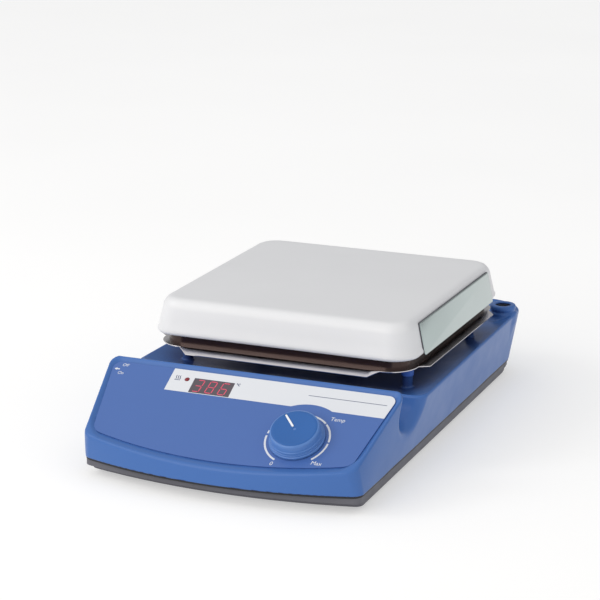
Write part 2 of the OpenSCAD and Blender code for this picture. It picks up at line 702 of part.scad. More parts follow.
module switch_wires() {
  color("saddlebrown") union() {
    lead(route([[-70.5, -109, 27.6], [-62, -106, 24], [-56, -70, 20], [-50, -44, 22], [-46, -31, 22],
                [-46, -30, pcb_top + 0.1]]), 1.3, [1, 0, 0.2]);
  }
}
module heater_leads() {
  y = hood_y + 30;
  color("white") for (x = [-2.5, 2.5])
    lead(route([[x, y, shield_z + 6], [x, y, 44], [x, y, 30], [x, y - 10, 22], [x, y - 12, pcb_top + 0.1]]),
         1.3, [1, 0, 0]);
}

upper_housing();
base_tray();
rubber_feet();
base_screws();
panel_overlay();
display_window();
display_module();
indicator_led();
knob();
pot_shaft();
potentiometer();
pot_nut();
control_board();
control_board_screws();
switch_body();
switch_rocker();
switch_terminals();
rod_bush();
heating_plate();
side_panel_right();
side_panel_left();
hood_seal();
heat_shield();
shield_screws();
heater_pan();
heater_insulation();
heating_coil();
heater_springs();
heater_terminals();
plate_sensor();
safety_sensor();
lead_grommet();
power_board();
power_board_screws();
transformer();
relays();
triac();
triac_heatsink();
fuse_clips();
fuses();
terminal_block();
board_capacitors();
board_sockets();
ribbon_cable();
mains_inlet();
inlet_pins();
inlet_screws();
earth_stud();
inlet_wires();
switch_wires();
heater_leads();
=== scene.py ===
import json
import math

import bpy
import numpy as np
from mathutils import Matrix, Vector


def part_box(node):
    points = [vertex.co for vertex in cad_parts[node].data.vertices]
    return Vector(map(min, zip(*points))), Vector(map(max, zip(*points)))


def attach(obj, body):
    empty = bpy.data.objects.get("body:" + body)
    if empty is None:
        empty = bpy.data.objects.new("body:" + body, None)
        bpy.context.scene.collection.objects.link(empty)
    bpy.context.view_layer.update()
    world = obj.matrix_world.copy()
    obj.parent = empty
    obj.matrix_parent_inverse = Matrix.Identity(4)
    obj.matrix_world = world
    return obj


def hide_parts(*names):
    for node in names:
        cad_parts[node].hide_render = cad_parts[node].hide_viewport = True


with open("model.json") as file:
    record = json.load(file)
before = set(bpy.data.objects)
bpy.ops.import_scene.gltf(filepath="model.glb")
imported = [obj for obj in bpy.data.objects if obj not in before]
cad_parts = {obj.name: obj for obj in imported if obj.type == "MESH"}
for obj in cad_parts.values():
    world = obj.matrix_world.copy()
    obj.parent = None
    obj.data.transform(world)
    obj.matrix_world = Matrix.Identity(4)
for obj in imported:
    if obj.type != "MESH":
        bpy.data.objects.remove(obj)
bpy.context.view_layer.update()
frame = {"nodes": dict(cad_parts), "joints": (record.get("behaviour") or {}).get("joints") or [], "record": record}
nodes = frame["nodes"]
joints = {j["name"]: j for j in frame["joints"]}

# All shapes below are worked out in millimetres, in the model's own frame, and scaled once.
MM = 0.001


def low(node):
    return np.array(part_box(node)[0]) / MM


def high(node):
    return np.array(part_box(node)[1]) / MM


# ---------------------------------------- driving sizes

FRONT, REAR = low("upper_housing")[1], high("upper_housing")[1]
PARTING = low("upper_housing")[2]
WALL = 3.2
PANEL_WALL = 5.0
TROUGH_Y = -76.0
TROUGH_R = 15.0
OVERLAP = 6.0
DECK_Z = 46.0
DECK_FRONT = TROUGH_Y + TROUGH_R
DISH = 5.6
HOOD_Y = (low("heating_plate")[1] + high("heating_plate")[1]) / 2

# plan of the parting line and of the deck's edge
PART_FRONT_X, PART_REAR_X, PART_ARC = 89.0, 84.0, 268.0
DECK_FRONT_X, DECK_REAR_X = 97.0, 90.5
FRONT_CORNER, REAR_CORNER = 5.0, 26.0
PART_TAPER, DECK_TAPER = 15.0, 90.0
EDGE_R, TROUGH_EDGE_R, PILLAR_R = 1.6, 7.0, 4.5

# the panel's plane: u across, v up the slope, w out of the panel
KNOB_U, KNOB_V = 44.0, -14.0
knob_at = np.array(joints["temperature_knob"]["pos_m"]) / MM
knob_axis = np.array(joints["temperature_knob"]["axis"])
TILT = math.atan2(knob_axis[1], -knob_axis[2])
PANEL_SIN, PANEL_COS = math.sin(TILT), math.cos(TILT)
PANEL_Y = knob_at[1] - KNOB_V * PANEL_COS
PANEL_Z = knob_at[2] - KNOB_V * PANEL_SIN
RIM_LOW_V, RIM_TOP_V = -45.5, 31.6
RIM_LOW_X, RIM_TOP_X = 86.4, 96.2
RIM_BASE = 33.5
RIM_ARC = 318.0
RIM_WIDE, RIM_WIDE_LOW = 3.6, 6.0
RECESS = 2.0
RIM_SLOPE = 1.5
LOW_RIM = 1.45
RIM_FLATTEN = 1 / math.hypot(1, RIM_SLOPE)
SHEET = 0.8
SHEET_W = SHEET - RECESS
SHEET_INSET = 3.8
DISPLAY_LO, DISPLAY_HI = (-34.8, 11.7), (-10.8, 21)

BOSS = (low("rod_bush") + high("rod_bush")) / 2
BOSS_R, BOSS_TOP, BOSS_LOW = 8.5, 52.0, 24
BUSH_R, BORE_R, BUSH_FLOOR = 5.9, 5.1, 34.0


def panel_point(u, v, w=0.0):
    y = PANEL_Y + v * PANEL_COS - w * PANEL_SIN
    return np.array([u, y, PANEL_Z + v * PANEL_SIN + w * PANEL_COS])


def panel_vw(y, z):
    dy, dz = y - PANEL_Y, z - PANEL_Z
    return dy * PANEL_COS + dz * PANEL_SIN, dz * PANEL_COS - dy * PANEL_SIN


# ---------------------------------------- solid fields

def ramp(x, a, b):
    t = np.clip((x - a) / (b - a), 0, 1)
    return t * t * (3 - 2 * t)


def arc(x, r):
    return r - np.sqrt(np.maximum(r * r - x * x, 1))


def meet(a, b, r):
    """Both solids, with the edge between them rounded to radius r."""
    inner = np.minimum(np.maximum(a, b), -r)
    return inner + np.hypot(np.maximum(a + r, 0), np.maximum(b + r, 0))


def join(a, b, r):
    """Either solid, with a fillet of radius r between them."""
    outer = np.maximum(np.minimum(a, b), r)
    return outer - np.hypot(np.maximum(r - a, 0), np.maximum(r - b, 0))


def block(x, y, z, lo, hi, r=0.0):
    """A box between two corners; r rounds its edges."""
    mid = [(a + b) / 2 for a, b in zip(lo, hi)]
    half = [(b - a) / 2 - r for a, b in zip(lo, hi)]
    q = [np.abs(p - m) - h for p, m, h in zip((x, y, z), mid, half)]
    outside = np.sqrt(sum(np.maximum(k, 0) ** 2 for k in q))
    return outside + np.minimum(np.maximum(np.maximum(q[0], q[1]), q[2]), 0) - r


def column(x, y, z, centre, r, z0, z1):
    return np.maximum(np.hypot(x - centre[0], y - centre[1]) - r, np.maximum(z0 - z, z - z1))


def deck_edge_x(y):
    """Half width of the deck, which narrows to the rear."""
    return DECK_FRONT_X - (DECK_FRONT_X - DECK_REAR_X) * (y + DECK_TAPER) / (REAR + DECK_TAPER)


def wall_x(y, z):
    """Half width of the body at each depth and height: the side walls lean and taper."""
    back = (y - FRONT - PART_TAPER) / (REAR - FRONT - PART_TAPER)
    part = PART_FRONT_X - (PART_FRONT_X - PART_REAR_X) * back
    low_y, low_z = panel_point(0, -RIM_BASE)[1:]
    top_y, top_z = panel_point(0, RIM_TOP_V)[1:]
    t = np.clip((y - low_y) / (top_y - low_y), 0, 1.2)
    rim_x = RIM_LOW_X + t * (RIM_TOP_X - RIM_LOW_X)
    rim_z = low_z + t * (top_z - low_z)
    panel = part + (rim_x - part) * (z - PARTING) / (rim_z - PARTING)
    deck = part + (deck_edge_x(y) - part) * (z - PARTING) / (DECK_Z - PARTING)
    k = ramp(y, TROUGH_Y - 22, TROUGH_Y + 16)
    return panel * (1 - k) + deck * k


def front_wall_y(x, z):
    part = FRONT + arc(x, PART_ARC)
    rim_v = RIM_LOW_V + arc(x, RIM_ARC)
    rim_y = PANEL_Y + rim_v * PANEL_COS
    rim_z = PANEL_Z + rim_v * PANEL_SIN
    return part + (rim_y - part) * (z - PARTING) / (rim_z - PARTING)


def deck_height(x, y):
    """The deck is a shallow dish inside a raised edge."""
    edge = np.abs(x) - deck_edge_x(y)
    inward = -meet(meet(edge, y - REAR, REAR_CORNER), DECK_FRONT - y, 12)
    t = np.clip((inward - 1.5) / 26, 0, 1)
    return DECK_Z - DISH * (1 - (1 - t) ** 2.2)


def panel_area(u, v, inset_side, inset_low, inset_top, r_low, r_top):
    """Plan of the panel in its own plane, set in from the rim's outer edge."""
    slope = (RIM_TOP_X - RIM_LOW_X) / (RIM_TOP_V + RIM_BASE)
    half = RIM_LOW_X - inset_side + (v + RIM_BASE) * slope
    side = (np.abs(u) - half) / math.hypot(1, slope)
    top = v - (RIM_TOP_V - inset_top)
    bottom = (np.hypot(u, v - (RIM_LOW_V + inset_low + RIM_ARC)) - RIM_ARC) / LOW_RIM
    return meet(meet(side, top, r_top), bottom, r_low)


def body_field(x, y, z):
    """Outside of the housing without its boss, posts, recesses and bottom."""
    w = panel_vw(y, z)[1]
    plan = meet((np.abs(x) - wall_x(y, z)) * 0.97, front_wall_y(x, z) - y, FRONT_CORNER)
    plan = meet(plan, y - REAR, REAR_CORNER)
    panel = np.maximum(w, y - TROUGH_Y - OVERLAP)
    deck = np.maximum(z - deck_height(x, y), TROUGH_Y - OVERLAP - y)
    trough = np.hypot(y - TROUGH_Y, np.minimum(z - DECK_Z, 0)) - TROUGH_R
    return meet(meet(plan, -trough, TROUGH_EDGE_R), np.minimum(panel, deck), EDGE_R)


def boss_field(x, y, z):
    r = np.hypot(x - BOSS[0], y - BOSS[1])
    collar = meet(r - BOSS_R, z - BOSS_TOP, 1.2)
    groove = np.hypot(r - BOSS_R - 0.3, z - BOSS_TOP + 4.2) - 1.1
    foot = r - BOSS_R + 0.45 * np.maximum(40 - z, 0)
    return meet(np.maximum(np.maximum(collar, foot), BOSS_LOW - z), -groove, 0.4)


POST_X, POST_Y = 74.0, 57.0
POSTS = [(sx * POST_X, HOOD_Y + sy * POST_Y) for sx in (-1, 1) for sy in (-1, 1)]
POST_R, POST_FOOT_R = 3.8, 3.2
COLLAR_Z, POST_TOP = 48.5, 57.2
SCREW_PILLARS = [(-78, -130, 32.5), (78, -130, 32.5), (-72, 118, 39), (66, 104, 39)]
SWITCH = np.array(joints["power_rocker"]["pos_m"]) / MM
SWITCH_AXIS = np.array(joints["power_rocker"]["axis"])
SWITCH_AXIS = SWITCH_AXIS / np.linalg.norm(SWITCH_AXIS)
SWITCH_OUT = np.cross([0, 1.0, 0], SWITCH_AXIS)
INLET = (low("mains_inlet") + high("mains_inlet")) / 2
INLET_BEYOND = 9
FLANGE_X, FLANGE_DEEP, FLANGE_LOW, FLANGE_HIGH = 25.3, 2.5, 13.7, 36.3
SOCKET_X, SOCKET_DEEP, SOCKET_LOW, SOCKET_HIGH = 14.4, 22, 14.8, 35.2
VENT_X, VENT_Z = 1.5, 7
VENTS = [(9.5 + i * 7, 25.0) for i in range(8)]


def housing_field(x, y, z):
    """The whole cast housing as one signed field: negative inside the metal."""
    v, w = panel_vw(y, z)
    body = body_field(x, y, z)
    hollow = np.maximum(body + WALL, w + PANEL_WALL)
    f = join(body, boss_field(x, y, z), 3.0)
    for p in POSTS:
        r = np.hypot(x - p[0], y - p[1])
        f = join(f, np.maximum(r - POST_FOOT_R, np.maximum(40 - z, z - POST_TOP + 1)), 1.5)
        f = np.minimum(f, meet(meet(r - POST_R, z - POST_TOP, 0.3), COLLAR_Z - z, 0.3))
    f = np.maximum(f, -hollow)
    for p in SCREW_PILLARS:
        f = np.minimum(f, column(x, y, z, p, PILLAR_R, 15, p[2]))
    # overlay recess, then the openings behind it
    recess = panel_area(x, v, RIM_WIDE, RIM_WIDE_LOW, RIM_WIDE, 8.0, 5.0)
    recess = recess - RIM_SLOPE * np.clip(w + RECESS, 0, RECESS)
    f = meet(f, -np.maximum(recess * RIM_FLATTEN, -(w + RECESS)), 0.5)
    f = np.maximum(f, -block(x, v, w, (*DISPLAY_LO, -12), (*DISPLAY_HI, 3)))
    f = np.maximum(f, -np.maximum(np.hypot(x - KNOB_U, v - KNOB_V) - 4.8, -12 - w))
    # bush, its sunken ring and the power switch
    r = np.hypot(x - BOSS[0], y - BOSS[1])
    f = np.maximum(f, -np.maximum(r - BUSH_R, np.maximum(BUSH_FLOOR - z, z - BOSS_TOP + 1.5)))
    f = meet(f, -np.maximum(r - BORE_R, BUSH_FLOOR - z), 0.5)
    across = (x - SWITCH[0]) * SWITCH_AXIS[0] + (z - SWITCH[2]) * SWITCH_AXIS[2]
    out = (x - SWITCH[0]) * SWITCH_OUT[0] + (z - SWITCH[2]) * SWITCH_OUT[2]
    f = np.maximum(f, -block(y - SWITCH[1], across, out, (-9.7, -6.6, -14), (9.7, 6.6, 8)))
    # mains inlet and vents in the rear wall
    beyond = REAR + INLET_BEYOND
    flange = block(x, y, z, (INLET[0] - FLANGE_X, REAR - FLANGE_DEEP, FLANGE_LOW),
                   (INLET[0] + FLANGE_X, beyond, FLANGE_HIGH), 0.5)
    socket = block(x, y, z, (INLET[0] - SOCKET_X, REAR - SOCKET_DEEP, SOCKET_LOW),
                   (INLET[0] + SOCKET_X, beyond, SOCKET_HIGH), 0.5)
    f = np.maximum(f, -np.minimum(flange, socket))
    for cx, cz in VENTS:
        slot = block(x, y, z, (cx - VENT_X, REAR - 10, cz - VENT_Z),
                     (cx + VENT_X, beyond, cz + VENT_Z), 1.2)
        f = np.maximum(f, -slot)
    return meet(f, PARTING + 0.25 - z, 0.5)


# ---------------------------------------- meshes

def surface_net(field, origin, step, shape):
    """Quad mesh of a field's zero surface on a regular grid, one point for each crossed cell."""
    axes = [origin[i] + step * np.arange(shape[i]) for i in range(3)]
    x, y, z = np.meshgrid(*axes, indexing="ij", sparse=True)
    f = field(x, y, z).astype(np.float32)
    inside = f < 0
    count = np.zeros([n - 1 for n in shape], np.int8)
    corners = [(a, b, c) for a in (0, 1) for b in (0, 1) for c in (0, 1)]
    for a, b, c in corners:
        count += inside[a:shape[0] - 1 + a, b:shape[1] - 1 + b, c:shape[2] - 1 + c]
    cell = np.nonzero((count > 0) & (count < 8))
    number = np.full(count.shape, -1, np.int64)
    number[cell] = np.arange(len(cell[0]))
    base = np.stack(cell, 1)
    total = np.zeros((len(base), 3))
    hits = np.zeros((len(base), 1))
    for p in corners:
        for axis in range(3):
            if p[axis]:
                continue
            q = list(p)
            q[axis] = 1
            fa = f[base[:, 0] + p[0], base[:, 1] + p[1], base[:, 2] + p[2]]
            fb = f[base[:, 0] + q[0], base[:, 1] + q[1], base[:, 2] + q[2]]
            crossed = (fa < 0) != (fb < 0)
            t = np.where(crossed, fa / np.where(crossed, fa - fb, 1), 0)
            point = np.array(p, float) + np.eye(3)[axis] * t[:, None]
            total += point * crossed[:, None]
            hits += crossed[:, None]
    verts = (base + total / hits) * step + np.array(origin)
    quads = []
    for axis in range(3):
        b, c = (axis + 1) % 3, (axis + 2) % 3
        first = [slice(None)] * 3
        second = [slice(None)] * 3
        first[axis], second[axis] = slice(0, -1), slice(1, None)
        start = inside[tuple(first)]
        change = start != inside[tuple(second)]
        edge = np.stack(np.nonzero(change), 1)
        edge = edge[(edge[:, b] > 0) & (edge[:, c] > 0)]
        edge = edge[(edge[:, b] < shape[b] - 1) & (edge[:, c] < shape[c] - 1)]
        ring = []
        for db, dc in ((-1, -1), (0, -1), (0, 0), (-1, 0)):
            at = edge.copy()
            at[:, b] += db
            at[:, c] += dc
            ring.append(number[at[:, 0], at[:, 1], at[:, 2]])
        ring = np.stack(ring, 1)
        outward = start[edge[:, 0], edge[:, 1], edge[:, 2]]
        ring[~outward] = ring[~outward][:, ::-1]
        quads.append(ring)
    return verts, np.concatenate(quads)


def gradient(field, p, h=0.15):
    g = np.zeros_like(p)
    for axis in range(3):
        d = np.zeros(3)
        d[axis] = h
        g[:, axis] = field(*(p + d).T) - field(*(p - d).T)
    return g / (2 * h)


def settle(field, p, reach, rounds=3):
    """Moves points onto the field's zero surface, and gives the surface's normals there."""
    start = p.copy()
    for _ in range(rounds):
        g = gradient(field, p)
        size = np.maximum((g * g).sum(1), 0.2)
        p = p - g * (field(*p.T) / size)[:, None]
        move = p - start
        far = np.maximum(np.linalg.norm(move, axis=1) / reach, 1)
        p = start + move / far[:, None]
    g = gradient(field, p)
    return p, g / np.maximum(np.linalg.norm(g, axis=1), 1e-6)[:, None]


def place_new(name, data):
    """A new object in the scene for a mesh, curve, light or camera."""
    obj = bpy.data.objects.new(name, data)
    bpy.context.scene.collection.objects.link(obj)
    return obj


def new_object(name, verts, faces, smooth=True):
    mesh = bpy.data.meshes.new(name)
    mesh.from_pydata(np.asarray(verts, float) * MM, [], faces)
    mesh.validate()
    mesh.update()
    if smooth:
        mesh.shade_smooth()
    return place_new(name, mesh)


def shift(obj, x, y, z=0.0):
    """Moves an object's mesh, in millimetres."""
    obj.data.transform(Matrix.Translation(Vector((x, y, z)) * MM))
    return obj


def bake_modifiers(obj):
    """Replaces an object's mesh by its mesh with modifiers applied."""
    graph = bpy.context.evaluated_depsgraph_get()
    mesh = bpy.data.meshes.new_from_object(obj.evaluated_get(graph))
    obj.modifiers.clear()
    obj.data = mesh
    return obj


def crease(obj, degrees=35):
    """Smooth shading that keeps edges sharper than the angle."""
    mesh = obj.data
    mesh.shade_smooth()
    mesh.set_sharp_from_angle(angle=math.radians(degrees))
    return obj


def bevel(obj, width, segments=2, degrees=30):
    m = obj.modifiers.new("round", "BEVEL")
    m.width = width * MM
    m.segments = segments
    m.limit_method = "ANGLE"
    m.angle_limit = math.radians(degrees)
    return bake_modifiers(obj)


def loft(name, rings, closed=True):
    """A skin through rings of equally many points; closed joins the last ring to the first."""
    n = len(rings[0])
    verts = np.concatenate(rings)
    faces = []
    last = len(rings) if closed else len(rings) - 1
    for k in range(last):
        a, b = k * n, ((k + 1) % len(rings)) * n
        for i in range(n):
            j = (i + 1) % n
            faces.append((a + i, a + j, b + j, b + i))
    if not closed:
        faces.append(tuple(range(n - 1, -1, -1)))
        faces.append(tuple((len(rings) - 1) * n + i for i in range(n)))
    return new_object(name, verts, faces)


def lathe(name, profile, sides=96):
    """Turns (radius, height) points round local Z; a radius of zero closes the end."""
    verts, faces, rows = [], [], []
    for r, h in profile:
        if r < 1e-6:
            rows.append([len(verts)] * sides)
            verts.append((0, 0, h))
        else:
            rows.append(list(range(len(verts), len(verts) + sides)))
            turns = [2 * math.pi * i / sides for i in range(sides)]
            verts += [(r * math.cos(a), r * math.sin(a), h) for a in turns]
    for a, b in zip(rows, rows[1:]):
        for i in range(sides):
            j = (i + 1) % sides
            face = [a[i], a[j], b[j], b[i]]
            face = [v for k, v in enumerate(face) if v not in face[:k]]
            if len(face) > 2:
                faces.append(tuple(face))
    return new_object(name, np.array(verts, float), faces)


def on_panel(obj, u=0.0, v=0.0, w=0.0, turn=0.0):
    """Stands an object on the panel's plane: its local Z becomes the panel's normal."""
    place = Matrix.Translation(Vector(panel_point(u, v, w) * MM))
    lean = Matrix.Rotation(TILT, 4, "X")
    spin = Matrix.Rotation(turn, 4, "Z")
    obj.data.transform(place @ lean @ spin)
    return obj


def plate(name, outline, z0, z1):
    """A flat plate from an outline, in its own plane."""
    n = len(outline)
    verts = [(x, y, z0) for x, y in outline] + [(x, y, z1) for x, y in outline]
    faces = [tuple(range(n - 1, -1, -1)), tuple(range(n, 2 * n))]
    faces += [(i, (i + 1) % n, n + (i + 1) % n, n + i) for i in range(n)]
    return new_object(name, np.array(verts, float), faces, smooth=False)


def arc_points(centre, r, a0, a1, n):
    """Points on an arc, angles in degrees clockwise from straight up."""
    return [(centre[0] + r * math.sin(math.radians(a)), centre[1] + r * math.cos(math.radians(a)))
            for a in np.linspace(a0, a1, n)]


def ring_at(half, r, z, n=12):
    """A ring of points round the hood's middle: a square with rounded corners, anticlockwise."""
    pts = []
    for k in range(4):
        a0 = k * math.pi / 2
        for i in range(n + 1):
            a = a0 + i * math.pi / 2 / n
            sx = 1 if k in (0, 3) else -1
            sy = 1 if k in (0, 1) else -1
            pts.append((sx * (half - r) + r * math.cos(a),
                        HOOD_Y + sy * (half - r) + r * math.sin(a), z))
    return np.array(pts, float)


def merged(name, objects):
    """Joins several objects' meshes into one new object."""
    verts, faces, base = [], [], 0
    for o in objects:
        verts.append(np.array([v.co for v in o.data.vertices], float) / MM)
        faces += [tuple(base + i for i in p.vertices) for p in o.data.polygons]
        base += len(o.data.vertices)
        bpy.data.objects.remove(o)
    return new_object(name, np.concatenate(verts), faces, smooth=False)


# ---------------------------------------- materials

def srgb(r, g, b):
    def linear(c):
        c = c / 255
        return c / 12.92 if c <= 0.04045 else ((c + 0.055) / 1.055) ** 2.4
    return (linear(r), linear(g), linear(b), 1.0)


class Look:
    """One procedural material: a principled shader with noise-driven colour, roughness and bump."""

    def __init__(self, name):
        self.material = bpy.data.materials.new(name)
        self.material.use_nodes = True
        self.tree = self.material.node_tree
        self.tree.nodes.clear()
        out = self.tree.nodes.new("ShaderNodeOutputMaterial")
        self.shader = self.tree.nodes.new("ShaderNodeBsdfPrincipled")
        self.link(self.shader.outputs[0], out.inputs[0])
        self.coords = self.tree.nodes.new("ShaderNodeTexCoord").outputs["Object"]
        self.height = None

    def link(self, a, b):
        self.tree.links.new(a, b)

    def put(self, **values):
        for key, value in values.items():
            self.shader.inputs[key.replace("_", " ")].default_value = value
        return self

    def noise(self, scale, detail=4.0, rough=0.55, stretch=(1, 1, 1)):
        mapping = self.tree.nodes.new("ShaderNodeMapping")
        mapping.inputs["Scale"].default_value = stretch
        self.link(self.coords, mapping.inputs[0])
        n = self.tree.nodes.new("ShaderNodeTexNoise")
        n.inputs["Scale"].default_value = scale
        n.inputs["Detail"].default_value = detail
        n.inputs["Roughness"].default_value = rough
        self.link(mapping.outputs[0], n.inputs["Vector"])
        return n.outputs["Fac"]

    def cells(self, scale):
        n = self.tree.nodes.new("ShaderNodeTexVoronoi")
        n.inputs["Scale"].default_value = scale
        self.link(self.coords, n.inputs["Vector"])
        return n.outputs["Distance"]

    def span(self, value, lo, hi, from_lo=0.3, from_hi=0.7):
        n = self.tree.nodes.new("ShaderNodeMapRange")
        n.inputs["From Min"].default_value = from_lo
        n.inputs["From Max"].default_value = from_hi
        n.inputs["To Min"].default_value = lo
        n.inputs["To Max"].default_value = hi
        self.link(value, n.inputs["Value"])
        return n.outputs["Result"]

    def blend(self, value, a, b):
        n = self.tree.nodes.new("ShaderNodeMix")
        n.data_type = "RGBA"
        n.inputs["A"].default_value = a
        n.inputs["B"].default_value = b
        self.link(value, n.inputs["Factor"])
        self.link(n.outputs["Result"], self.shader.inputs["Base Color"])
        return self

    def cloud(self, colour, lo, hi, scale, detail):
        """Base colour that drifts between a darker and a lighter tone."""
        drift = self.span(self.noise(scale, detail), 0, 1)
        return self.blend(drift, shade(colour, lo), shade(colour, hi))

    def paint_recess_shade(self, reach, colour, from_lo, from_hi):
        """Painted shade: pulls the base colour to a dark tone where the surface is shut in closely, as ambient
        occlusion finds it.
        """
        ao = self.tree.nodes.new("ShaderNodeAmbientOcclusion")
        ao.inputs["Distance"].default_value = reach
        n = self.tree.nodes.new("ShaderNodeMix")
        n.data_type = "RGBA"
        n.inputs["A"].default_value = colour
        self.link(self.span(ao.outputs["AO"], 0, 1, from_lo, from_hi), n.inputs["Factor"])
        self.link(self.shader.inputs["Base Color"].links[0].from_socket, n.inputs["B"])
        self.link(n.outputs["Result"], self.shader.inputs["Base Color"])
        return self

    def rough(self, value, lo, hi):
        self.link(self.span(value, lo, hi), self.shader.inputs["Roughness"])
        return self

    def bump(self, value, distance, strength=0.4):
        n = self.tree.nodes.new("ShaderNodeBump")
        n.inputs["Strength"].default_value = strength
        n.inputs["Distance"].default_value = distance
        self.link(value, n.inputs["Height"])
        if self.height is not None:
            self.link(self.height, n.inputs["Normal"])
        self.height = n.outputs["Normal"]
        self.link(self.height, self.shader.inputs["Normal"])
        return self


def shade(colour, k):
    return (colour[0] * k, colour[1] * k, colour[2] * k, 1.0)


def paint(name, colour, lo=0.28, hi=0.36):
    """Powder coat: fine orange peel, soft clouding, uneven gloss, and painted shade that darkens deep recesses."""
    look = Look(name).put(Specular_IOR_Level=0.22)
    look.cloud(colour, 0.98, 1.02, 9, 3)
    # painted shade: a dark blue tone pulled into the paint where it is shut in, as on the deck under the hood
    look.paint_recess_shade(0.032, srgb(32, 30, 80), 0.12, 0.5)
    look.rough(look.noise(60, 5), lo, hi)
    look.bump(look.noise(900, 2), 0.00006, 0.35)
    return look.bump(look.noise(150, 3), 0.0002, 0.03).material


def moulded(name, colour, lo=0.42, hi=0.58, grain=1400, depth=0.00006):
    """Moulded plastic with a fine spark-eroded texture."""
    look = Look(name).put(Specular_IOR_Level=0.45)
    look.cloud(colour, 0.92, 1.08, 14, 3)
    look.rough(look.noise(90, 4), lo, hi)
    return look.bump(look.noise(grain, 3), depth, 0.4).material


def glossy(name, colour, lo=0.1, hi=0.2, **extra):
    look = Look(name).put(Specular_IOR_Level=0.5, **extra)
    look.cloud(colour, 0.93, 1.07, 30, 3)
    look.rough(look.noise(70, 4), lo, hi)
    return look.bump(look.noise(220, 2), 0.00003, 0.2).material


def rubbery(name, colour):
    look = Look(name).put(Specular_IOR_Level=0.3)
    look.cloud(colour, 0.8, 1.2, 40, 4)
    look.rough(look.noise(120, 4), 0.65, 0.85)
    return look.bump(look.noise(1100, 4), 0.00008, 0.5).material


def metal(name, colour, lo, hi, stretch=(1, 1, 1), scale=300, depth=0.00002):
    """Bare metal: drawn or ground lines come from a stretched noise."""
    look = Look(name).put(Metallic=1.0)
    look.cloud(colour, 0.9, 1.05, 25, 4)
    look.rough(look.noise(scale, 4, 0.6, stretch), lo, hi)
    return look.bump(look.noise(scale * 2, 3, 0.6, stretch), depth, 0.25).material


def fibre(name, colour, scale=700):
    look = Look(name).put(Specular_IOR_Level=0.2)
    look.cloud(colour, 0.82, 1.05, 60, 5)
    look.rough(look.noise(200, 4), 0.8, 0.95)
    return look.bump(look.noise(scale, 5, 0.7, (1, 1, 4)), 0.0004, 0.7).material


def enamel(name, colour):
    """Fired white coating: a very slight ripple, faint clouding and painted shade where the coating is shut in."""
    look = Look(name).put(Specular_IOR_Level=0.5, Coat_Weight=0.08, Coat_Roughness=0.3)
    look.cloud(colour, 0.975, 1.01, 7, 4)
    # painted shade: a dark warm grey pulled into the white where the hood is shut in, as on its underside
    look.paint_recess_shade(0.03, srgb(46, 40, 40), 0.3, 0.62)
    look.rough(look.noise(45, 5), 0.4, 0.5)
    look.bump(look.noise(420, 3), 0.00004, 0.25)
    return look.bump(look.noise(28, 2), 0.0003, 0.06).material


def circuit(name):
    """Solder mask with traces seen through it."""
    look = Look(name).put(Specular_IOR_Level=0.5)
    traces = look.span(look.cells(160), 0, 1, 0.25, 0.45)
    look.blend(traces, srgb(30, 104, 58), srgb(18, 70, 40))
    look.rough(look.noise(150, 3), 0.3, 0.42)
    return look.bump(look.cells(160), 0.00006, 0.3).material


def windings(name):
    """Varnished copper wound on an iron core."""
    look = Look(name).put(Metallic=0.6)
    turns = look.span(look.noise(400, 2, 0.4, (0.1, 0.1, 4)), 0, 1)
    look.blend(turns, srgb(150, 84, 40), srgb(96, 52, 26))
    look.rough(look.noise(200, 3), 0.3, 0.5)
    return look.bump(look.noise(400, 2, 0.4, (0.1, 0.1, 4)), 0.0003, 0.6).material


def film(name, colour, lo=0.3, hi=0.36):
    """Screen-printed polycarbonate sheet: even colour, a very fine matt grain."""
    look = Look(name).put(Specular_IOR_Level=0.45)
    look.cloud(colour, 0.985, 1.015, 18, 3)
    look.rough(look.noise(160, 3), lo, hi)
    return look.bump(look.noise(2400, 2), 0.00002, 0.25).material


def glowing(name, colour, power):
    look = Look(name).put(Emission_Color=colour, Emission_Strength=power, Roughness=0.4)
    look.cloud(colour, 0.9, 1.1, 500, 2)
    return look.bump(look.noise(900, 2), 0.00002, 0.2).material


def sheet_steel(name, colour, lo, hi, metallic=1.0):
    """Bright-rolled stainless sheet."""
    look = Look(name).put(Metallic=metallic)
    look.cloud(colour, 0.94, 1.04, 20, 3)
    look.rough(look.noise(40, 4), lo, hi)
    look.bump(look.noise(1600, 2, 0.5, (1, 8, 8)), 0.000008, 0.12)
    return look.bump(look.noise(30, 2), 0.0002, 0.05).material


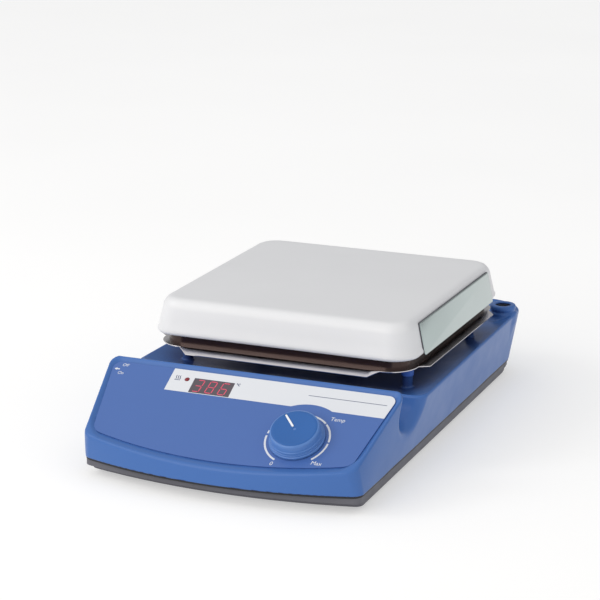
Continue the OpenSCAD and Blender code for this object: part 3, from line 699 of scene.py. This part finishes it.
LOOKS = {
    "housing_paint": paint("housing_paint", srgb(68, 108, 173)),
    "tray_plastic": moulded("tray_plastic", srgb(92, 92, 100)),
    "foot_rubber": rubbery("foot_rubber", srgb(34, 34, 36)),
    "overlay_film": film("overlay_film", srgb(70, 104, 170)),
    "window_tint": glossy("window_tint", srgb(84, 76, 84), 0.14, 0.22),
    "led_lens": glossy("led_lens", srgb(128, 34, 44), 0.14, 0.22),
    "knob_plastic": moulded("knob_plastic", srgb(34, 92, 162), 0.34, 0.44),
    "ceramic_white": enamel("ceramic_white", srgb(224, 225, 228)),
    "panel_grey": sheet_steel("panel_grey", srgb(178, 190, 189), 0.14, 0.2),
    "polished_steel": sheet_steel("polished_steel", srgb(214, 211, 214), 0.14, 0.22),
    "steel": metal("steel", srgb(176, 178, 182), 0.28, 0.42, (1, 1, 6)),
    "zinc_screw": metal("zinc_screw", srgb(168, 170, 174), 0.3, 0.45),
    "brass_plate": metal("brass_plate", srgb(196, 164, 92), 0.25, 0.4),
    "board_green": circuit("board_green"),
    "black_plastic": moulded("black_plastic", srgb(24, 24, 26), 0.35, 0.5),
    "seal_white": rubbery("seal_white", srgb(214, 212, 204)),
    "fibre_white": fibre("fibre_white", srgb(226, 222, 210)),
    "coil_wire": metal("coil_wire", srgb(120, 104, 92), 0.5, 0.7),
    "copper_core": windings("copper_core"),
    "blue_plastic": glossy("blue_plastic", srgb(36, 86, 168), 0.25, 0.35),
    "alu_fin": metal("alu_fin", srgb(180, 182, 186), 0.35, 0.5, (1, 1, 8)),
    "glass_tube": glossy("glass_tube", srgb(225, 235, 235), 0.05, 0.1, Transmission_Weight=0.7),
    "green_plastic": moulded("green_plastic", srgb(30, 122, 70)),
    "cable_grey": rubbery("cable_grey", srgb(150, 150, 152)),
    "cable_brown": rubbery("cable_brown", srgb(96, 62, 40)),
    "cable_glass": fibre("cable_glass", srgb(232, 228, 212), 1500),
    "stainless_probe": metal("stainless_probe", srgb(204, 204, 208), 0.2, 0.3),
}
PRINT_WHITE = film("print_white", srgb(219, 222, 228))
PRINT_INK = film("print_ink", srgb(58, 72, 110))
DIGIT_RED = glowing("digit_red", srgb(196, 70, 96), 0.35)
# painted reflection: the shield's upright wall is the same bright sheet as the pan, given a dark brown, less
# metallic finish that stands for the shaded deck it reflects
SHADED_WALL_STEEL = sheet_steel("wall_steel_painted_dark", srgb(62, 44, 40), 0.2, 0.28, 0.45)
# painted light: the collars are the housing's own cast posts, given a lighter blue than the housing paint and none
# of its recess shade, to stand for light falling on them
LIT_COLLAR_BLUE = moulded("collar_blue_painted_lit", srgb(78, 122, 212), 0.3, 0.4)
# partly painted light: the cap is a separate darker disc, and the grip's lighter blue is also raised to paint in
# the light and highlights falling on its side
KNOB_SIDE = moulded("knob_side", srgb(80, 122, 186), 0.3, 0.4)
POINTER_WHITE = glossy("pointer_white", srgb(236, 240, 246), 0.25, 0.35)


def finish_piece(obj, material, body="body", stands_for=()):
    obj.data.materials.clear()
    obj.data.materials.append(material)
    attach(obj, body)
    if stands_for:
        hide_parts(*stands_for)
    return obj


# ---------------------------------------- the housing

def make_housing():
    step = 1.0
    lo = np.array([-98.6, FRONT - 1.6, PARTING - 1.37])
    hi = np.array([98.6, REAR + 2.0, 62.0])
    shape = [int(n) for n in np.ceil((hi - lo) / step) + 1]
    verts, quads = surface_net(housing_field, lo, step, shape)
    verts, _ = settle(housing_field, verts, 0.6 * step)
    obj = new_object("housing_skin", verts, quads.tolist())
    thin = obj.modifiers.new("thin", "DECIMATE")
    thin.ratio = 0.3
    bake_modifiers(obj)
    mesh = obj.data
    co = np.empty(len(mesh.vertices) * 3)
    mesh.vertices.foreach_get("co", co)
    points, normals = settle(housing_field, co.reshape(-1, 3) / MM, 0.4 * step)
    mesh.vertices.foreach_set("co", (points * MM).ravel())
    mesh.shade_smooth()
    mesh.normals_split_custom_set_from_vertices(normals)
    return finish_piece(obj, LOOKS["housing_paint"], stands_for=["upper_housing"])


# ---------------------------------------- the hood and what hangs under it

HOOD_TOP_Z = high("heating_plate")[2]
HOOD_LOW_Z = low("heating_plate")[2]
HOOD_HALF = (high("heating_plate")[0] - low("heating_plate")[0]) / 2
HOOD_TOP_HALF = 81.6
HOOD_T = 4.0
HOOD_SLOPE = (HOOD_HALF - HOOD_TOP_HALF - 1) / (HOOD_TOP_Z - HOOD_LOW_Z - 2.8)


def make_hood():
    """A shallow enamelled cap: soft upper edge, sloping sides, rolled lower rim."""
    lo, hi, rim, top = HOOD_LOW_Z, HOOD_TOP_Z, HOOD_HALF, HOOD_TOP_HALF
    section = [(rim - HOOD_T, 12, lo + 0.8), (rim - HOOD_T + 1, 13, lo), (rim - 2.2, 14.5, lo),
               (rim - 0.9, 15.6, lo + 0.35), (rim - 0.2, 16, lo + 1.3), (rim - 0.1, 16, lo + 2.4)]
    section += [(rim - HOOD_SLOPE * h - 0.1, 16 - 0.12 * h, lo + h) for h in (4, 10, 16, 18)]
    section += [(top + 0.35, 13.4, hi - 2.9), (top - 0.35, 13, hi - 1.9),
                (top - 1.3, 12.2, hi - 1.0), (top - 2.6, 11.3, hi - 0.4),
                (top - 4.2, 10.2, hi - 0.08), (top - 6, 9, hi)]
    inner = [(top - HOOD_T - 3, 8, hi - HOOD_T), (top - HOOD_T, 9, hi - HOOD_T - 2)]
    rings = [ring_at(*inner[0]), ring_at(*inner[1])] + [ring_at(*s) for s in section]
    obj = crease(loft("hood_shell", rings, closed=False), 60)
    return finish_piece(obj, LOOKS["ceramic_white"], stands_for=["heating_plate"])


PLATE_Y0, PLATE_Y1 = -63.0, 65.0
PLATE_LOW, PLATE_HIGH = -0.6, 19.4


def side_frame(side):
    """Frame of the hood's sloping side: X along the side, Y up the slope, Z outward."""
    lean = math.atan(HOOD_SLOPE)
    along = Vector((0, side, 0))
    up = Vector((-side * math.sin(lean), 0, math.cos(lean)))
    out = along.cross(up)
    turn = Matrix((along, up, out)).transposed().to_4x4()
    foot = Vector((side * HOOD_HALF, HOOD_Y, HOOD_LOW_Z))
    return Matrix.Translation(foot * MM) @ turn


def rounded_rect(x0, y0, x1, y1, r, n=6):
    pts = []
    left, right, bottom, top = x0 + r, x1 - r, y0 + r, y1 - r
    for cx, cy, a0 in ((right, bottom, -90), (right, top, 0), (left, top, 90), (left, bottom, 180)):
        for i in range(n + 1):
            a = math.radians(a0 + 90 * i / n)
            pts.append((cx + r * math.cos(a), cy + r * math.sin(a)))
    return pts


def make_side_plate(side, name, node):
    """Bright plate on the hood's side, on a dark backing that paints the shadow gap round it as a thin outline."""
    place = side_frame(side)
    y0, y1 = (PLATE_Y0, PLATE_Y1) if side > 0 else (-PLATE_Y1, -PLATE_Y0)
    outline = rounded_rect(y0 - 0.3, PLATE_LOW + 0.7, y1 + 0.3, PLATE_HIGH + 0.35, 1.8)
    # painted shade: a dark plate just larger than the face, standing for the shadow in the gap round it
    shadow_outline = plate(name + "_shadow_outline", outline, -0.1, 0.5)
    shadow_outline.data.transform(place)
    finish_piece(shadow_outline, LOOKS["tray_plastic"])
    face = plate(name, rounded_rect(y0, PLATE_LOW, y1, PLATE_HIGH, 1.5), 0.2, 1.2)
    bevel(face, 0.9, 3)
    crease(face, 60)
    face.data.transform(place)
    return finish_piece(face, LOOKS["panel_grey"], stands_for=[node])


SHIELD_HALF, SHIELD_R, SHIELD_T = 80.5, 14.0, 0.8
SHIELD_LOW_FLOOR, SHIELD_TOP = 53.0, high("heat_shield")[2]
SHIELD_RIM, SHIELD_WELL, SHIELD_LIP = POST_TOP, 70.0, 4.0
TAB_OUT, TAB_DROP = 5.2, 2.1
TAB_REST, TAB_END = 60.0, 66.2


def shield_ring(offset, z, tab=0.0, drop=0.0):
    """A ring round the shield, pushed outward; a tab takes the middle of each side out and down."""
    half, r = SHIELD_HALF + offset, SHIELD_R + offset
    straight = SHIELD_HALF - SHIELD_R
    stops = [-straight, -TAB_END, -TAB_REST, -30, 0, 30, TAB_REST, TAB_END, straight]
    pts = []
    for k in range(4):
        a0 = math.radians(90 * k)
        out, along = (math.cos(a0), math.sin(a0)), (-math.sin(a0), math.cos(a0))
        for t in stops:
            reach = min(max((TAB_END - abs(t)) / (TAB_END - TAB_REST), 0), 1)
            d = half + tab * reach
            fall = drop * reach * (0.4 if k % 2 == 0 else 1.3)
            x, y = out[0] * d + along[0] * t, out[1] * d + along[1] * t
            pts.append((x, HOOD_Y + y, z - fall))
        for i in range(1, 12):
            a = a0 + math.pi / 2 * i / 12
            cx = out[0] * straight + along[0] * straight
            cy = out[1] * straight + along[1] * straight
            pts.append((cx + r * math.cos(a), HOOD_Y + cy + r * math.sin(a), z))
    return np.array(pts)


def cut(obj, cutters):
    tool = merged("cutter", cutters)
    m = obj.modifiers.new("cut", "BOOLEAN")
    m.operation = "DIFFERENCE"
    m.object = tool
    m.solver = "EXACT"
    bake_modifiers(obj)
    bpy.data.objects.remove(tool)
    return obj


def drill(x, y, z0, z1, r, sides=32):
    return shift(lathe("drill", [(0, z0), (r, z0), (r, z1), (0, z1)], sides), x, y)


def make_shield():
    """Pressed bright pan under the hood: upright wall, turned lip, a sloping tab on each side."""
    t, rim, lo = SHIELD_T, SHIELD_RIM, SHIELD_LOW_FLOOR
    well = SHIELD_WELL - SHIELD_HALF
    flat, lip = rim + t, SHIELD_LIP
    # the upright wall carries a painted reflection: the same sheet as the pan, painted dark
    wall = loft("shield_wall", [shield_ring(-t, flat - 0.3), shield_ring(-t, SHIELD_TOP),
                                shield_ring(0, SHIELD_TOP), shield_ring(0, flat - 0.3)])
    crease(wall, 42)
    finish_piece(wall, SHADED_WALL_STEEL, stands_for=["heat_shield"])
    rings = [shield_ring(well - t - 2, lo + t), shield_ring(well - t - 0.4, lo + t + 0.1),
             shield_ring(well - t, lo + t + 0.5), shield_ring(well - t, flat - 0.3),
             shield_ring(well - t + 0.3, flat)]
    edge = [(0.4, 0, 0, 0), (lip - 1.2, 0, 0, 0), (lip - 0.5, 0, 0.4, 0.06),
            (lip - 0.2, -0.02, 0.9, 0.16), (lip - 0.04, -0.1, 1.5, 0.36),
            (lip, -0.16, TAB_OUT, TAB_DROP), (lip, -0.62, TAB_OUT - 0.1, TAB_DROP),
            (lip - 0.1, -0.76, 1.2, 0.5), (lip - 0.3, -t, 0.5, 0.22), (lip - 0.8, -t, 0, 0)]
    for out, z, tab, drop in edge:
        rings.append(shield_ring(out, flat + z, tab, drop))
    rings += [shield_ring(well + 0.4, rim), shield_ring(well, rim - 0.4),
              shield_ring(well, lo + 0.5), shield_ring(well - 0.5, lo), shield_ring(well - 3, lo)]
    pan = loft("shield_pan", rings, closed=False)
    holes = [drill(x, y, rim - 2, rim + 2.6, 2.2) for x, y in POSTS]
    holes.append(drill(0, HOOD_Y + 30, lo - 2, lo + 2.6, 8))
    holes += [drill(42 * math.cos(a), HOOD_Y + 42 * math.sin(a), lo - 2, lo + 2.6, 6)
              for a in np.radians([0, 180, 240, 300])]
    cut(pan, holes)
    crease(pan, 42)
    return finish_piece(pan, LOOKS["polished_steel"])


def make_collars():
    """Thicker upper ends of the four posts, right under the shield, in a lighter blue that paints light onto them.
    """
    bore, r, lo, hi = 1.8, POST_R + 0.05, COLLAR_Z - 0.1, POST_TOP - 0.05
    profile = [(bore, lo), (r - 0.35, lo), (r, lo + 0.35), (r, hi), (bore, hi)]
    collars = [shift(lathe("collar", profile, 40), x, y) for x, y in POSTS]
    return finish_piece(crease(merged("post_collars", collars), 40), LIT_COLLAR_BLUE)


# ---------------------------------------- the panel: prints, display and knob

STRIP_LEFT, STRIP_LOW, STRIP_ARCH = -51.6, 10.1, 27.4
PRINT_T = 0.06
WINDOW_LO, WINDOW_HI = (-36.0, 10.5), (-9.6, 22.2)
LED_AT = (-40.5, 20.3)


def sheet_edge_u(v):
    rise = (v + RIM_BASE) * (RIM_TOP_X - RIM_LOW_X) / (RIM_TOP_V + RIM_BASE)
    return RIM_LOW_X - SHEET_INSET + rise


def print_on_panel(name, outline, material=None, lift=0.0):
    obj = plate(name, outline, 0.0, PRINT_T)
    on_panel(obj, w=SHEET_W + lift)
    return finish_piece(obj, material or PRINT_WHITE)


def make_strip():
    """Pale printed band along the panel's top, with an arch cut out round the knob."""
    top, r = RIM_TOP_V - SHEET_INSET, 4.8
    right = sheet_edge_u(top)
    half = math.degrees(math.acos((STRIP_LOW - KNOB_V) / STRIP_ARCH))
    arch = arc_points((KNOB_U, KNOB_V), STRIP_ARCH, half, -half, 24)
    corner = [(right - r + r * math.cos(a) - 0.35, top - r + r * math.sin(a))
              for a in np.linspace(-0.1, math.pi / 2, 9)]
    outline = [(STRIP_LEFT, STRIP_LOW), (STRIP_LEFT, top)] + corner[::-1]
    outline += [(sheet_edge_u(STRIP_LOW), STRIP_LOW)] + arch
    band = print_on_panel("printed_band", outline[::-1])
    holes = [plate("hole", rounded_rect(*WINDOW_LO, *WINDOW_HI, 0.3, 2), -3, 3),
             drill(LED_AT[0], LED_AT[1], -3, 3, 1.6)]
    for h in holes:
        on_panel(h)
    cut(band, holes)
    return band


def band_arc(name, a0, a1, r=19.1, width=1.15):
    n = max(4, int(abs(a1 - a0) / 4))
    outer = arc_points((KNOB_U, KNOB_V), r + width / 2, a0, a1, n)
    inner = arc_points((KNOB_U, KNOB_V), r - width / 2, a1, a0, n)
    return plate(name, (outer + inner)[::-1], 0.0, PRINT_T)


def words(name, text, u, v, size, shear=0.12):
    curve = bpy.data.curves.new(name, "FONT")
    curve.body = text
    curve.size = size
    curve.shear = shear
    curve.extrude = PRINT_T / 2
    curve.align_x = "CENTER"
    curve.align_y = "CENTER"
    obj = place_new(name, curve)
    graph = bpy.context.evaluated_depsgraph_get()
    mesh = bpy.data.meshes.new_from_object(obj.evaluated_get(graph))
    bpy.data.objects.remove(obj)
    flat = place_new(name, mesh)
    mesh.transform(Matrix.Scale(MM, 4) @ Matrix.Translation((0, 0, PRINT_T / 2)))
    on_panel(flat, u, v, SHEET_W)
    return finish_piece(flat, PRINT_WHITE)


def make_scale():
    """Temperature scale round the knob, an arrow to the power switch, and plain marks."""
    spans = [(-156, -91), (-86, -79), (9, 40.5), (43.5, 87.5), (91, 135)]
    arcs = merged("printed_scale", [band_arc("arc", *s) for s in spans])
    on_panel(arcs, w=SHEET_W)
    finish_piece(arcs, PRINT_WHITE)
    words("mark_zero", "0", 35.3, -34.7, 3.9)
    words("mark_max", "Max", 61.5, -30.0, 3.9)
    words("mark_temp", "Temp", 62.6, 4.4, 3.9)
    words("mark_off", "Off", -84.0, 25.3, 3.1)
    words("mark_on", "On", -84.6, 18.6, 3.1)
    arrow = [(-90.0, 21.6), (-88.2, 22.6), (-88.2, 22.0), (-86.4, 22.0), (-86.4, 21.2),
             (-88.2, 21.2), (-88.2, 20.6)]
    print_on_panel("printed_arrow", arrow[::-1])
    rule = [(38.5, 20.0), (87.6, 20.0), (87.6, 20.35), (38.5, 20.35)]
    print_on_panel("printed_rule", rule, PRINT_INK, PRINT_T)


def wave(u, v, height, swing, width, n=9):
    """One rising wavy line, as an outline."""
    left, right = [], []
    for i in range(n):
        t = i / (n - 1)
        x = u + swing * math.sin(2 * math.pi * t)
        left.append((x - width / 2, v + height * t))
        right.append((x + width / 2, v + height * t))
    return right + left[::-1]


def make_symbols():
    """Heating symbol (three waves over a bar) and a degree mark beside the display."""
    def curve(u, v, ru, rv, angles):
        return [(u + ru * math.cos(a), v + rv * math.sin(a)) for a in angles]
    u, v = -46.6, 18.9
    bar = [(u - 1.9, v), (u + 1.9, v), (u + 1.9, v + 0.4), (u - 1.9, v + 0.4)]
    shapes = [plate("bar", bar, 0, PRINT_T)]
    for k in (-1, 0, 1):
        shapes.append(plate("wave", wave(u + k * 1.25, v + 0.8, 2.9, 0.35, 0.42), 0, PRINT_T))
    dot = curve(-7.9, 21.8, 0.45, 0.45, np.linspace(0, 2 * math.pi, 16, False))
    shapes.append(plate("degree", dot, 0, PRINT_T))
    outer = curve(-6.4, 21.2, 0.9, 1.0, np.linspace(0.9, 5.4, 14))
    inner = curve(-6.4, 21.2, 0.5, 0.6, np.linspace(5.4, 0.9, 14))
    shapes.append(plate("celsius", outer + inner, 0, PRINT_T))
    obj = merged("printed_symbols", shapes)
    on_panel(obj, w=SHEET_W + PRINT_T)
    finish_piece(obj, PRINT_INK)


SEGMENTS = {"3": "abcdg", "8": "abcdefg", "6": "acdefg"}
DIGIT_W, DIGIT_H, STROKE, SLANT = 4.3, 9.2, 0.6, 0.12


def segment(kind, u, v):
    """One stroke of a seven-segment digit whose lower left corner is at (u, v)."""
    w, h, k = DIGIT_W, DIGIT_H, STROKE / 2
    gap = 0.22
    bars = {"a": (0, h, w, h), "g": (0, h / 2, w, h / 2), "d": (0, 0, w, 0), "f": (0, h / 2, 0, h),
            "b": (w, h / 2, w, h), "e": (0, 0, 0, h / 2), "c": (w, 0, w, h / 2)}
    x0, y0, x1, y1 = bars[kind]
    if y0 == y1:
        pts = [(x0 + gap, y0), (x0 + gap + k, y0 - k), (x1 - gap - k, y0 - k), (x1 - gap, y0),
               (x1 - gap - k, y0 + k), (x0 + gap + k, y0 + k)]
    else:
        pts = [(x0, y0 + gap), (x0 + k, y0 + gap + k), (x0 + k, y1 - gap - k), (x0, y1 - gap),
               (x0 - k, y1 - gap - k), (x0 - k, y0 + gap + k)]
    pts = [(u + x + SLANT * y, v + y) for x, y in pts]
    return plate("segment", pts, 0, 0.05)


def make_digits():
    shapes = []
    for k, digit in enumerate("386"):
        u = WINDOW_LO[0] + 1.9 + k * 8.3
        shapes += [segment(s, u, WINDOW_LO[1] + 1.2) for s in SEGMENTS[digit]]
    obj = merged("display_digits", shapes)
    on_panel(obj, w=SHEET_W + 0.01)
    return finish_piece(obj, DIGIT_RED)


def make_lamp():
    """Domed lamp lens that just stands out of the overlay."""
    profile = [(0, -4), (1.45, -4), (1.45, SHEET_W), (1.35, SHEET_W + 0.25), (1.0, SHEET_W + 0.5),
               (0.5, SHEET_W + 0.62), (0, SHEET_W + 0.66)]
    obj = lathe("lamp_lens", profile, 32)
    on_panel(obj, *LED_AT)
    crease(obj, 50)
    return finish_piece(obj, LOOKS["led_lens"])


OUTLINE_POINTS = 720


def outline_at(z, inset):
    """Plan outline of the housing at a height, found along rays from the middle."""
    n = OUTLINE_POINTS
    a = np.linspace(0, 2 * math.pi, n, False)
    lo, hi = np.zeros(n), np.full(n, 260.0)
    for _ in range(26):
        mid = (lo + hi) / 2
        inside = body_field(mid * np.cos(a), mid * np.sin(a), np.full(n, z)) < -inset
        lo, hi = np.where(inside, mid, lo), np.where(inside, hi, mid)
    return np.stack([lo * np.cos(a), lo * np.sin(a)], 1)


def make_parting_line():
    """Black strip between housing and tray: painted shade that stands for the shadow in the parting gap and shows
    as a thin line.
    """
    def ring(z, inset):
        plan = outline_at(PARTING + 1, inset + 0.15)
        return np.column_stack([plan, np.full(OUTLINE_POINTS, z)])
    lo, hi = PARTING - 0.75, PARTING + 0.6
    line = loft("parting_shadow_outline", [ring(lo, 2.2), ring(lo, 0.3), ring(hi, 0.3), ring(hi, 2.2)])
    crease(line, 30)
    return finish_piece(line, LOOKS["black_plastic"])


POINTER = -math.radians(43)


def make_knob():
    """Turned knob: flange, fine ridges, sloping grip, slightly dished top with a white pointer."""
    r, lo, top = 16.6, SHEET_W + 0.35, 8.1
    face = r - 2.9
    grip = [(0, 3.4), (4, 3.4), (8.5, 3.4), (8.5, lo), (r - 0.4, lo), (r, lo + 0.3),
            (r, lo + 1.3), (r - 0.3, lo + 1.6), (r - 0.5, lo + 1.7), (r - 0.55, lo + 2.6),
            (r - 0.95, lo + 2.8), (r - 1.0, lo + 3.1), (r - 0.8, lo + 3.3), (r - 0.95, lo + 4.3),
            (r - 1.3, lo + 4.6), (r - 1.7, top - 1.5), (r - 2.0, top - 0.75),
            (r - 2.5, top - 0.3), (face, top - 0.2), (face - 0.4, top - 0.5), (0, top - 0.8)]
    obj = lathe("knob_body", grip, 128)
    crease(obj, 38)
    on_panel(obj, KNOB_U, KNOB_V, 0.0, -POINTER)
    # the grip's lighter blue is partly painted light on the knob's side
    finish_piece(obj, KNOB_SIDE, "knob", ["knob"])
    disc = [(0, top - 1.0), (face - 0.2, top - 1.0), (face - 0.15, top - 0.2), (face - 0.5, top),
            (r - 4.6, top - 0.1), (9, top - 0.3), (5, top - 0.45), (2, top - 0.5), (0, top - 0.5)]
    cap = lathe("knob_cap", disc, 128)
    cut(cap, [plate("groove", rounded_rect(-0.95, 1.7, 0.95, 13.2, 0.9), top - 0.8, top + 2)])
    dimple = [(0, top - 0.95), (0.7, top - 0.9), (1.1, top - 0.6), (1.2, top + 2), (0, top + 2)]
    cut(cap, [lathe("dimple", dimple, 24)])
    crease(cap, 38)
    on_panel(cap, KNOB_U, KNOB_V, 0.0, -POINTER)
    finish_piece(cap, LOOKS["knob_plastic"], "knob")
    line = plate("knob_pointer", rounded_rect(-0.6, 2.0, 0.6, 12.9, 0.5), top - 0.9, top - 0.12)
    bevel(line, 0.12, 2)
    on_panel(line, KNOB_U, KNOB_V, 0.0, -POINTER)
    finish_piece(line, POINTER_WHITE, "knob")


# ---------------------------------------- feet and switch

def make_feet():
    """Moulded rubber feet with a grip ring underneath."""
    top = high("rubber_feet")[2]
    profile = [(0, 0.5), (2.4, 0.5), (2.9, 0), (4.2, 0), (4.6, 0.4), (5.2, 0.4), (5.6, 0),
               (6.6, 0), (7.3, 0.5), (7.7, 1.6), (8.0, top), (0, top)]
    places = [(-58, -130), (-66, 136), (58, -130), (66, 136)]
    feet = [shift(lathe("foot", profile, 48), x, y) for x, y in places]
    obj = crease(merged("feet", feet), 40)
    return finish_piece(obj, LOOKS["foot_rubber"], stands_for=["rubber_feet"])


ROCKER_TILT = math.radians(8)


def switch_place():
    """The switch's own frame: local X to the rear, local Y down the wall, local Z out of it."""
    rows = (Vector((0, 1, 0)), Vector(SWITCH_AXIS), Vector(SWITCH_OUT))
    return Matrix.Translation(Vector(SWITCH) * MM) @ Matrix(rows).transposed().to_4x4()


def make_rocker():
    """Rocker cap with softened edges and a raised mark at its on end."""
    side = [(-7.9, 1.2), (-8, 2.6), (-6.6, 3.25), (-5, 3.4), (-2.4, 2.9), (0, 2.5), (2.4, 2.9),
            (5, 3.4), (6.6, 3.25), (8, 2.6), (7.9, 1.2), (2, -4.6), (-2, -4.6)]
    cap = plate("rocker_cap", side, -5.1, 5.1)
    bevel(cap, 0.45, 3, 50)
    crease(cap, 50)
    stand = Matrix.Rotation(math.pi / 2, 4, "X")
    rest = switch_place() @ Matrix.Rotation(-ROCKER_TILT, 4, "Y")
    cap.data.transform(rest @ stand)
    finish_piece(cap, LOOKS["black_plastic"], "rocker", ["switch_rocker"])
    mark = plate("rocker_mark", rounded_rect(-0.35, -2.0, 0.35, 2.0, 0.3, 3), 3.2, 3.42)
    mark.data.transform(rest @ Matrix.Translation(Vector((-5, 0, 0)) * MM))
    finish_piece(mark, POINTER_WHITE, "rocker")


make_housing()
make_parting_line()
make_hood()
make_side_plate(1, "side_plate_right", "side_panel_right")
make_side_plate(-1, "side_plate_left", "side_panel_left")
make_shield()
make_collars()
make_strip()
make_scale()
make_symbols()
make_digits()
make_lamp()
make_knob()
make_feet()
make_rocker()

# every CAD node that still shows gets its slot's material
slot_of = {s["node"]: s["material_slot"] for s in frame["record"]["subparts"]}
for name, obj in nodes.items():
    obj.data.materials.clear()
    obj.data.materials.append(LOOKS[slot_of[name]])


# ---------------------------------------- stage, light and camera

def make_stage():
    size = 12.0
    mesh = bpy.data.meshes.new("floor")
    corners = [(-size, -size, 0), (size, -size, 0), (size, size, 0), (-size, size, 0)]
    mesh.from_pydata(corners, [], [(0, 1, 2, 3)])
    floor = place_new("floor", mesh)
    look = Look("floor_white").put(Roughness=0.9, Specular_IOR_Level=0.1,
                                   Emission_Color=(1, 1, 1, 1), Emission_Strength=0.43)
    look.blend(look.span(look.noise(3, 2), 0, 1), (0.6, 0.6, 0.6, 1), (0.62, 0.62, 0.62, 1))
    mesh.materials.append(look.material)


def area_light(name, place, target, size, power, colour=(1, 1, 1)):
    data = bpy.data.lights.new(name, "AREA")
    data.shape = "RECTANGLE"
    data.size, data.size_y = size
    data.energy = power
    data.color = colour
    obj = place_new(name, data)
    obj.location = place
    obj.rotation_euler = (Vector(target) - Vector(place)).to_track_quat("-Z", "Y").to_euler()


def make_light():
    """A soft white tent, dimmer near the floor and behind, with weak lights from the front left."""
    world = bpy.data.worlds.new("studio")
    bpy.context.scene.world = world
    world.use_nodes = True
    tree = world.node_tree
    sky = tree.nodes["Background"]
    sky.inputs["Color"].default_value = (1, 1, 1, 1)
    split = tree.nodes.new("ShaderNodeSeparateXYZ")
    tree.links.new(tree.nodes.new("ShaderNodeTexCoord").outputs["Generated"], split.inputs[0])
    parts = []
    # brightness by height times brightness by depth: each fades from one value to the other
    for axis, span in (("Z", (0.0, 0.8, 0.6, 0.86)), ("Y", (0.1, 0.8, 1.0, 0.6))):
        rise = tree.nodes.new("ShaderNodeMapRange")
        for socket, value in zip(("From Min", "From Max", "To Min", "To Max"), span):
            rise.inputs[socket].default_value = value
        tree.links.new(split.outputs[axis], rise.inputs["Value"])
        parts.append(rise.outputs["Result"])
    product = tree.nodes.new("ShaderNodeMath")
    product.operation = "MULTIPLY"
    for i, part in enumerate(parts):
        tree.links.new(part, product.inputs[i])
    tree.links.new(product.outputs[0], sky.inputs["Strength"])
    area_light("key", (-0.7, -1.9, 1.0), (0, 0, 0), (1.4, 1.0), 13, (1, 0.94, 0.85))
    area_light("side", (-1.3, -0.8, 1.2), (0, 0, 0.03), (0.7, 0.7), 6)


def make_camera():
    azimuth, elevation, roll = np.radians([23.14, 15.87, -0.15])
    place = (0.5258, -1.2541, 0.4662)
    data = bpy.data.cameras.new("camera")
    data.sensor_width = 36
    data.lens = 135
    data.clip_end = 100
    obj = place_new("camera", data)
    turn = Matrix.Rotation(azimuth, 4, "Z") @ Matrix.Rotation(math.pi / 2 - elevation, 4, "X")
    obj.matrix_world = Matrix.Translation(place) @ turn @ Matrix.Rotation(roll, 4, "Z")
    bpy.context.scene.camera = obj


make_stage()
make_light()
make_camera()
bpy.context.scene.view_settings.view_transform = "Standard"
